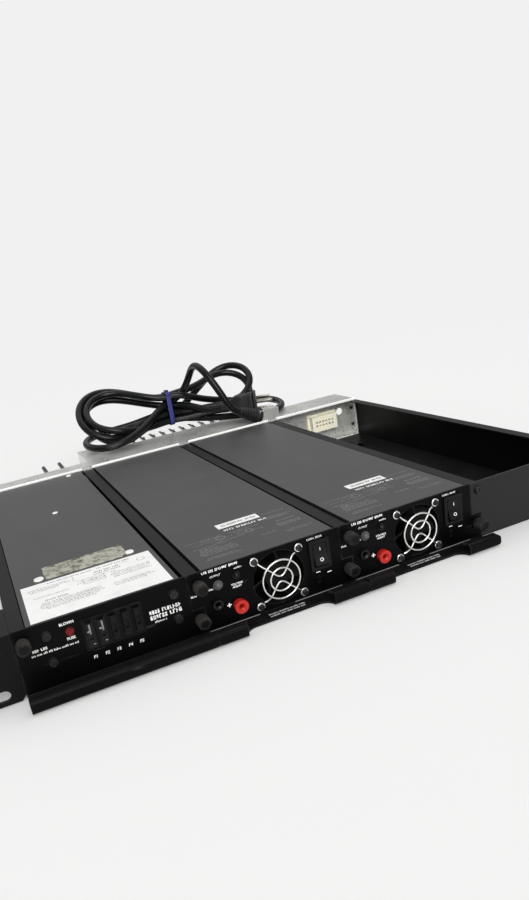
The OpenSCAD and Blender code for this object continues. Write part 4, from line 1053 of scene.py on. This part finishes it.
def makeFuseLabel():
    (x0, x1), (y0, y1) = fuseLabel["x"], [rowY(v) for v in fuseLabel["y"]]
    sheet = boxPiece("fuseLabel", (x0, y0, fuseTop), (x1, y1, fuseTop + fuseLabel["thick"]), 0.00004, 1)
    dress(sheet, "fuse_module", labelFinish)
    chance = random.Random(11)
    # start and length across, height from the front edge, letter height, in millimetres
    rows = [(17, 30, 52.2, 1.5), (50, 22, 52.2, 1.7), (4, 24, 47.5, 1.1), (4, 27, 45.4, 1.1), (5, 18, 43.3, 1.1),
            (47, 17, 46.6, 1.9), (46, 19, 43.6, 1.7), (58, 24, 37.0, 1.2), (56, 26, 34.4, 1.5),
            (57, 22, 31.8, 1.1), (57, 25, 29.8, 1.1), (36, 16, 38.5, 1.0), (34, 19, 36.0, 1.0),
            (6, 22, 33.5, 1.0), (12, 14, 26.0, 1.9), (10, 36, 22.8, 1.2), (9, 38, 20.5, 1.3), (8, 40, 18.2, 1.2),
            (9, 36, 16.0, 1.2), (12, 30, 13.8, 1.2), (55, 24, 21.0, 1.1), (54, 27, 18.8, 1.1), (55, 20, 16.6, 1.1)]
    bars = []
    for start, long, high, tall in rows:
        bars += printLine(chance, x0 + start / 1000, long / 1000, y0 + high / 1000, tall / 1000, True)
    # thin rules and connection lines of the small diagrams
    for u0, u1, v in ((34, 56, 41.3), (38, 52, 33.2), (62, 70, 49.4)):
        bars.append((x0 + u0 / 1000, y0 + v / 1000, x0 + u1 / 1000, y0 + v / 1000 + 0.00025))
    for u, v0, v1 in ((38, 33.2, 41.3), (52, 33.2, 41.3), (33, 44, 51)):
        bars.append((x0 + u / 1000, y0 + v0 / 1000, x0 + u / 1000 + 0.00025, y0 + v1 / 1000))
    ink = stripes("fuseLabelPrint", bars, "top", fuseTop + fuseLabel["thick"] - 0.00002, 0.00006)
    dress(ink, "fuse_module", greyInkFinish, angle=0)
    rings = [(x0 + u / 1000, y0 + v / 1000, radius / 1000)
             for u, v, radius in ((79, 47, 2.6), (45, 37.4, 1.8), (58.5, 40, 1.5))]
    dress(diagramRings("fuseLabelDiagram", rings, fuseTop + fuseLabel["thick"], 0.00016, 0.2), "fuse_module",
          greyInkFinish)


def makeFoil():
    # torn remains of an older sticker, behind the white one
    x0, x1, y0, y1 = -0.1890, -0.1325, rowY(62.5), rowY(85.5)
    letGo()
    bpy.ops.mesh.primitive_grid_add(x_subdivisions=46, y_subdivisions=18, size=1,
                                    location=((x0 + x1) / 2, (y0 + y1) / 2, fuseTop + 0.0001))
    foil = bpy.context.object
    foil.name = "fuseFoil"
    meshMode()
    bpy.ops.transform.resize(value=(x1 - x0, y1 - y0, 1))
    shell = bmesh.from_edit_mesh(foil.data)
    chance = random.Random(5)
    for spot in shell.verts:
        edge = any(len(e.link_faces) < 2 for e in spot.link_edges)
        spot.select = False
        spot.co.z += chance.uniform(0, 0.00005)
        if edge:
            spot.co.x += chance.uniform(-0.00035, 0.00035)
            spot.co.y += chance.uniform(-0.0005, 0.0005)
    ragged = set()
    for face in shell.faces:
        middle = face.calc_center_median()
        corner = middle.x > 0.43 * (x1 - x0) and abs(middle.y) > 0.38 * (y1 - y0)
        if corner and chance.random() < 0.7:
            ragged.add(face)
    for face in shell.faces:
        face.select = face in ragged
    bmesh.update_edit_mesh(foil.data)
    bpy.ops.mesh.delete(type="FACE")
    objectMode()
    settleIn(foil)
    useModifier(foil, "SOLIDIFY", thickness=0.00012, offset=-1)
    dress(foil, "fuse_module", foilStickerFinish)


def makeFuseRivets():
    heads = [discPiece("rivet", x, rowY(y), fuseTop, size, 0.00085)
             for x, y, size in ((-0.1932, 66.3, 0.0034), (-0.1305, 66.3, 0.0030), (-0.161, 204, 0.0025),
                                (-0.1296, 319, 0.0026))]
    dress(joinUp("fuseCoverRivets", heads), "fuse_module", rivetFinish, angle=0)


def makeFuseFrontPrint():
    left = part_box("fuse_block")[0][0] - 0.0337   # the bay's own left end
    face = panelFace
    chance = random.Random(3)
    parts = [lettering("fuseLegend", "FUSE", 0.0017, (left + 0.0268, face, 0.0281), 0.00004),
             lettering("fuseLegend", "BLOWN", 0.0017, (left + 0.0243, face, 0.0381), 0.00004)]
    for k in range(5):
        parts.append(lettering("fuseNumber", "F" + str(k + 1), 0.0020,
                               (left + 0.0388 + 0.00725 * k, face, 0.0110), 0.00006, lean=0.15))
    bars = printLine(chance, left + 0.0772, 0.0192, 0.0262, 0.0024, heavy=0.25)
    bars += printLine(chance, left + 0.0772, 0.0202, 0.0226, 0.0026, heavy=0.25)
    bars += printLine(chance, left + 0.0795, 0.0075, 0.0202, 0.0013, True)
    bars += printLine(chance, left + 0.0052, 0.0272, 0.0245, 0.0013, True)
    bars += printLine(chance, left + 0.0062, 0.0085, 0.0270, 0.0017, heavy=0.22)
    parts.append(stripes("fuseFrontBars", bars, "front", face))
    dress(joinUp("fuseFrontPrint", parts), "fuse_module", inkFinish, angle=0)


def makeFuseClips():
    # metal ends that show through the first two fuses, dull ones in the dark fuses
    for k in range(5):
        low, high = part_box("fuse_" + str(k + 1))
        middle = (low[0] + high[0]) / 2
        bright = k < 2
        aside = 0.0004 * (k % 2)
        # ends across, from the fuse's middle, proud, ends in height, and bevel
        sizes = [(aside - 0.0006, aside + 0.0005, 0.00035, 0.0292, 0.0357 if bright else 0.0332, 0.00025)]
        if bright:
            sizes += [(-0.0019, 0.0002, 0.0002, 0.0305, 0.0316, 0.0002),
                      (0.0001, 0.0017, 0.0002, 0.0222, 0.0230, 0.0002)]
        strips = [boxPiece("clip", (middle + u0, low[1] - proud, z0), (middle + u1, low[1] + 0.0004, z1), bevel)
                  for u0, u1, proud, z0, z1, bevel in sizes]
        clip = joinUp("fuseClip" + str(k + 1), strips)
        dress(clip, "fuse_" + str(k + 1), glintFinish if bright else finishes["thumb_black"])


def makeRectifierPrint(number, left):
    body = "rectifier_" + str(number)
    chance = random.Random(20)   # the same print on both
    # top: white rounded strip with small print in it
    x0 = left + 0.0410
    y0, y1 = rowY(57.5), rowY(66.5)
    strip = boxPiece("topStrip" + str(number), (x0, y0, caseTop), (x0 + 0.0325, y1, caseTop + 0.0001))
    pick(strip)
    meshMode()
    selectWhere(strip, "edges", lambda line: abs(line.verts[0].co.z - line.verts[1].co.z) > 0.00005)
    bpy.ops.mesh.bevel(offset=0.0018, segments=5, affect="EDGES")
    objectMode()
    dress(strip, body, labelFinish)
    bars = printLine(chance, x0 + 0.0035, 0.0255, y0 + 0.0030, 0.0030)
    dress(stripes("topStripPrint" + str(number), bars, "top", caseTop + 0.0001, 0.00005), body, greyInkFinish,
          angle=0)
    bold = printLine(chance, left + 0.0430, 0.0310, rowY(51), 0.0028, heavy=0.22)
    dress(stripes("topTitle" + str(number), bold, "top", caseTop), body, inkFinish, angle=0)
    # faded small print and diagrams in front of it
    faint = []
    rows = [(12, 26, 46, 1.0), (44, 22, 45, 1.1), (76, 17, 60, 1.0), (74, 18, 52, 1.1), (74, 20, 50, 1.1),
            (75, 17, 48, 1.1), (14, 30, 40, 0.8), (47, 20, 38, 0.9), (78, 14, 40, 1.6), (76, 18, 35, 1.1),
            (76, 18, 33, 1.1), (77, 16, 31, 1.1), (13, 24, 33, 1.0), (16, 22, 27, 1.2), (15, 26, 24.6, 1.2),
            (14, 27, 22.2, 1.2), (15, 25, 19.8, 1.2), (16, 20, 14, 1.0), (15, 24, 11.8, 1.0), (60, 12, 25, 1.2),
            (75, 20, 20, 1.0), (76, 18, 17.6, 1.0)]
    for start, long, high, tall in rows:
        faint += printLine(chance, left + start / 1000, long / 1000, rowY(high), tall / 1000, True)
    for u0, u1, v in ((22, 36, 44), (30, 52, 35.5), (46, 60, 42), (20, 30, 30)):
        faint.append((left + u0 / 1000, rowY(v), left + u1 / 1000, rowY(v) + 0.0003))
    dress(stripes("topPrint" + str(number), faint, "top", caseTop, 0.00005), body, faintInkFinish, angle=0)
    rings = [(left + u / 1000, rowY(v), radius / 1000)
             for u, v, radius in ((36, 42, 3.2), (57, 39.5, 2.6), (19, 30, 2.2))]
    dress(diagramRings("topDiagram" + str(number), rings, caseTop, 0.00018, 0.25), body, faintInkFinish)
    # front legends
    face = panelFace
    bars = printLine(chance, left + 0.0060, 0.0235, 0.0410, 0.0017, heavy=0.24)
    bars += printLine(chance, left + 0.0275, 0.0060, 0.0382, 0.0011, True)
    bars += printLine(chance, left + 0.0800, 0.0110, 0.0408, 0.0013)
    bars += printLine(chance, left - 0.0033, 0.0040, 0.0280, 0.0013, True)
    bars += printLine(chance, left + 0.0080, 0.0040, 0.0290, 0.0013, True)
    bars += [(left + 0.0918, 0.0143, left + 0.0950, 0.0149), (left + 0.0838, 0.0166, left + 0.0868, 0.0171)]
    parts = [stripes("frontBars", bars, "front", face),
             lettering("frontWord", "OUTPUT", 0.0013, (left + 0.0108, face, 0.0372)),
             lettering("frontWord", "VOLTAGE", 0.0013, (left + 0.0238, face, 0.0275), 0.00003),
             lettering("frontWord", "ADJUST", 0.0013, (left + 0.0246, face, 0.0256), 0.00003),
             lettering("frontWord", "+", 0.0042, (left + 0.0186, face, 0.0131), 0.00012)]
    dress(joinUp("frontPrint" + str(number), parts), body, inkFinish, angle=0)
    # two lines on the ledge under the fan
    ledge = printLine(chance, left + 0.0440, 0.0260, rowY(-5.2), 0.0014, True)
    ledge += printLine(chance, left + 0.0440, 0.0250, rowY(-8.0), 0.0014, True)
    dress(stripes("ledgePrint" + str(number), ledge, "top", 0.0014), body, inkFinish, angle=0)


def makeRockerMarks(number):
    # I and O on the two halves of the rocker, in its own slope
    name = "rect" + str(number) + "_rocker"
    low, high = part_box(name)
    spots = [spot.co for spot in nodes[name].data.vertices]
    middle = (low[2] + high[2]) / 2

    def slopeAt(level):
        # the rocker's face at a height, from its nearest points on either side
        face = sorted({(round(s.z, 5), round(s.y, 5)) for s in spots if s.y < low[1] + 0.0045})
        below = max((f for f in face if f[0] <= level), default=face[0])
        above = min((f for f in face if f[0] >= level), default=face[-1])
        if above[0] == below[0]:
            return below[1]
        return below[1] + (above[1] - below[1]) * (level - below[0]) / (above[0] - below[0])

    across = (low[0] + high[0]) / 2
    marks = []
    for words, level, tall in (("I", middle + 0.0038, 0.0024), ("O", middle - 0.0034, 0.0024)):
        mark = lettering("mark", words, tall, (0, 0, 0), 0.00003)
        wide = mark.dimensions.x
        front = min(slopeAt(level - tall / 2), slopeAt(level), slopeAt(level + tall / 2))
        tilt = math.atan2(slopeAt(level + tall / 2) - slopeAt(level - tall / 2), tall)
        mark.rotation_euler = (-tilt, 0, 0)
        mark.location = (across - wide / 2, slopeAt(level - tall / 2) - 0.00005, level - tall / 2)
        marks.append(settleIn(mark))
    dress(joinUp("rockerMarks" + str(number), marks), "rocker_" + str(number), inkFinish, angle=0)


makeFuseLabel()
makeFoil()
makeFuseRivets()
makeFuseFrontPrint()
makeFuseClips()
print("fuse module dressed")
for number, left in rectifiers.items():
    makeRectifierPrint(number, left)
    makeRockerMarks(number)
print("rectifiers dressed")


# ---- floor, lights and world ----

studio = {"back": (0.88, 0.88, 0.88), "floor": (0.84, 0.84, 0.835), "fill": 0.62}

letGo()
bpy.ops.mesh.primitive_plane_add(size=30, location=(0, 0, -0.0003))
floor = bpy.context.object
floor.name = "floor"
newFinish("paleFloor")
finishUp(blended(mottle(place(), 1.5, 3), studio["floor"], (0.85, 0.85, 0.845)), 0.75, gloss=0.1)
# far from the shelf the floor runs into the backdrop without an edge
far = put("VectorMath", {0: put("TexCoord").outputs["Object"]}, operation="LENGTH").outputs["Value"]
glow = put("Emission", {"Color": studio["back"]})
both = put("MixShader", {0: ranged(far, 0.45, 1.3), 1: work["shader"].outputs[0], 2: glow.outputs[0]})
feed(work["tree"].nodes["Material Output"], "Surface", both.outputs[0])
floor.data.materials.append(work["finish"])

world = bpy.data.worlds.new("studio")
bpy.context.scene.world = world
world.use_nodes = True
work["tree"] = world.node_tree
seen = put("LightPath").outputs
way = put("SeparateXYZ", {0: put("TexCoord").outputs["Generated"]}).outputs
# what shiny parts mirror: a pale backdrop behind and above, a dim room in front
room = times(ranged(way[2], 0.20, 0.55, 0.25, 1.0), ranged(way[1], -0.25, 0.3, 0.45, 1.0))
mirrored = put("CombineColor", {0: room, 1: room, 2: room}).outputs[0]
shade = blended(seen["Is Glossy Ray"], (studio["fill"],) * 3, mirrored)
direct = sums("MAXIMUM", seen["Is Camera Ray"], seen["Is Transmission Ray"])
feed(work["tree"].nodes["Background"], 0, blended(direct, shade, studio["back"]))


def addSun(name, turned, strength, wide):
    letGo()
    bpy.ops.object.light_add(type="SUN", rotation=[math.radians(a) for a in turned])
    lamp = bpy.context.object
    lamp.name = name
    lamp.data.energy = strength
    lamp.data.angle = math.radians(wide)


addSun("keySun", (52, -16, 0), 1.45, 32)
addSun("frontSun", (74, -14, 0), 0.85, 30)
addSun("topSun", (-12, 8, 0), 0.35, 60)
bpy.context.scene.view_settings.view_transform = "Standard"
print("stage set")
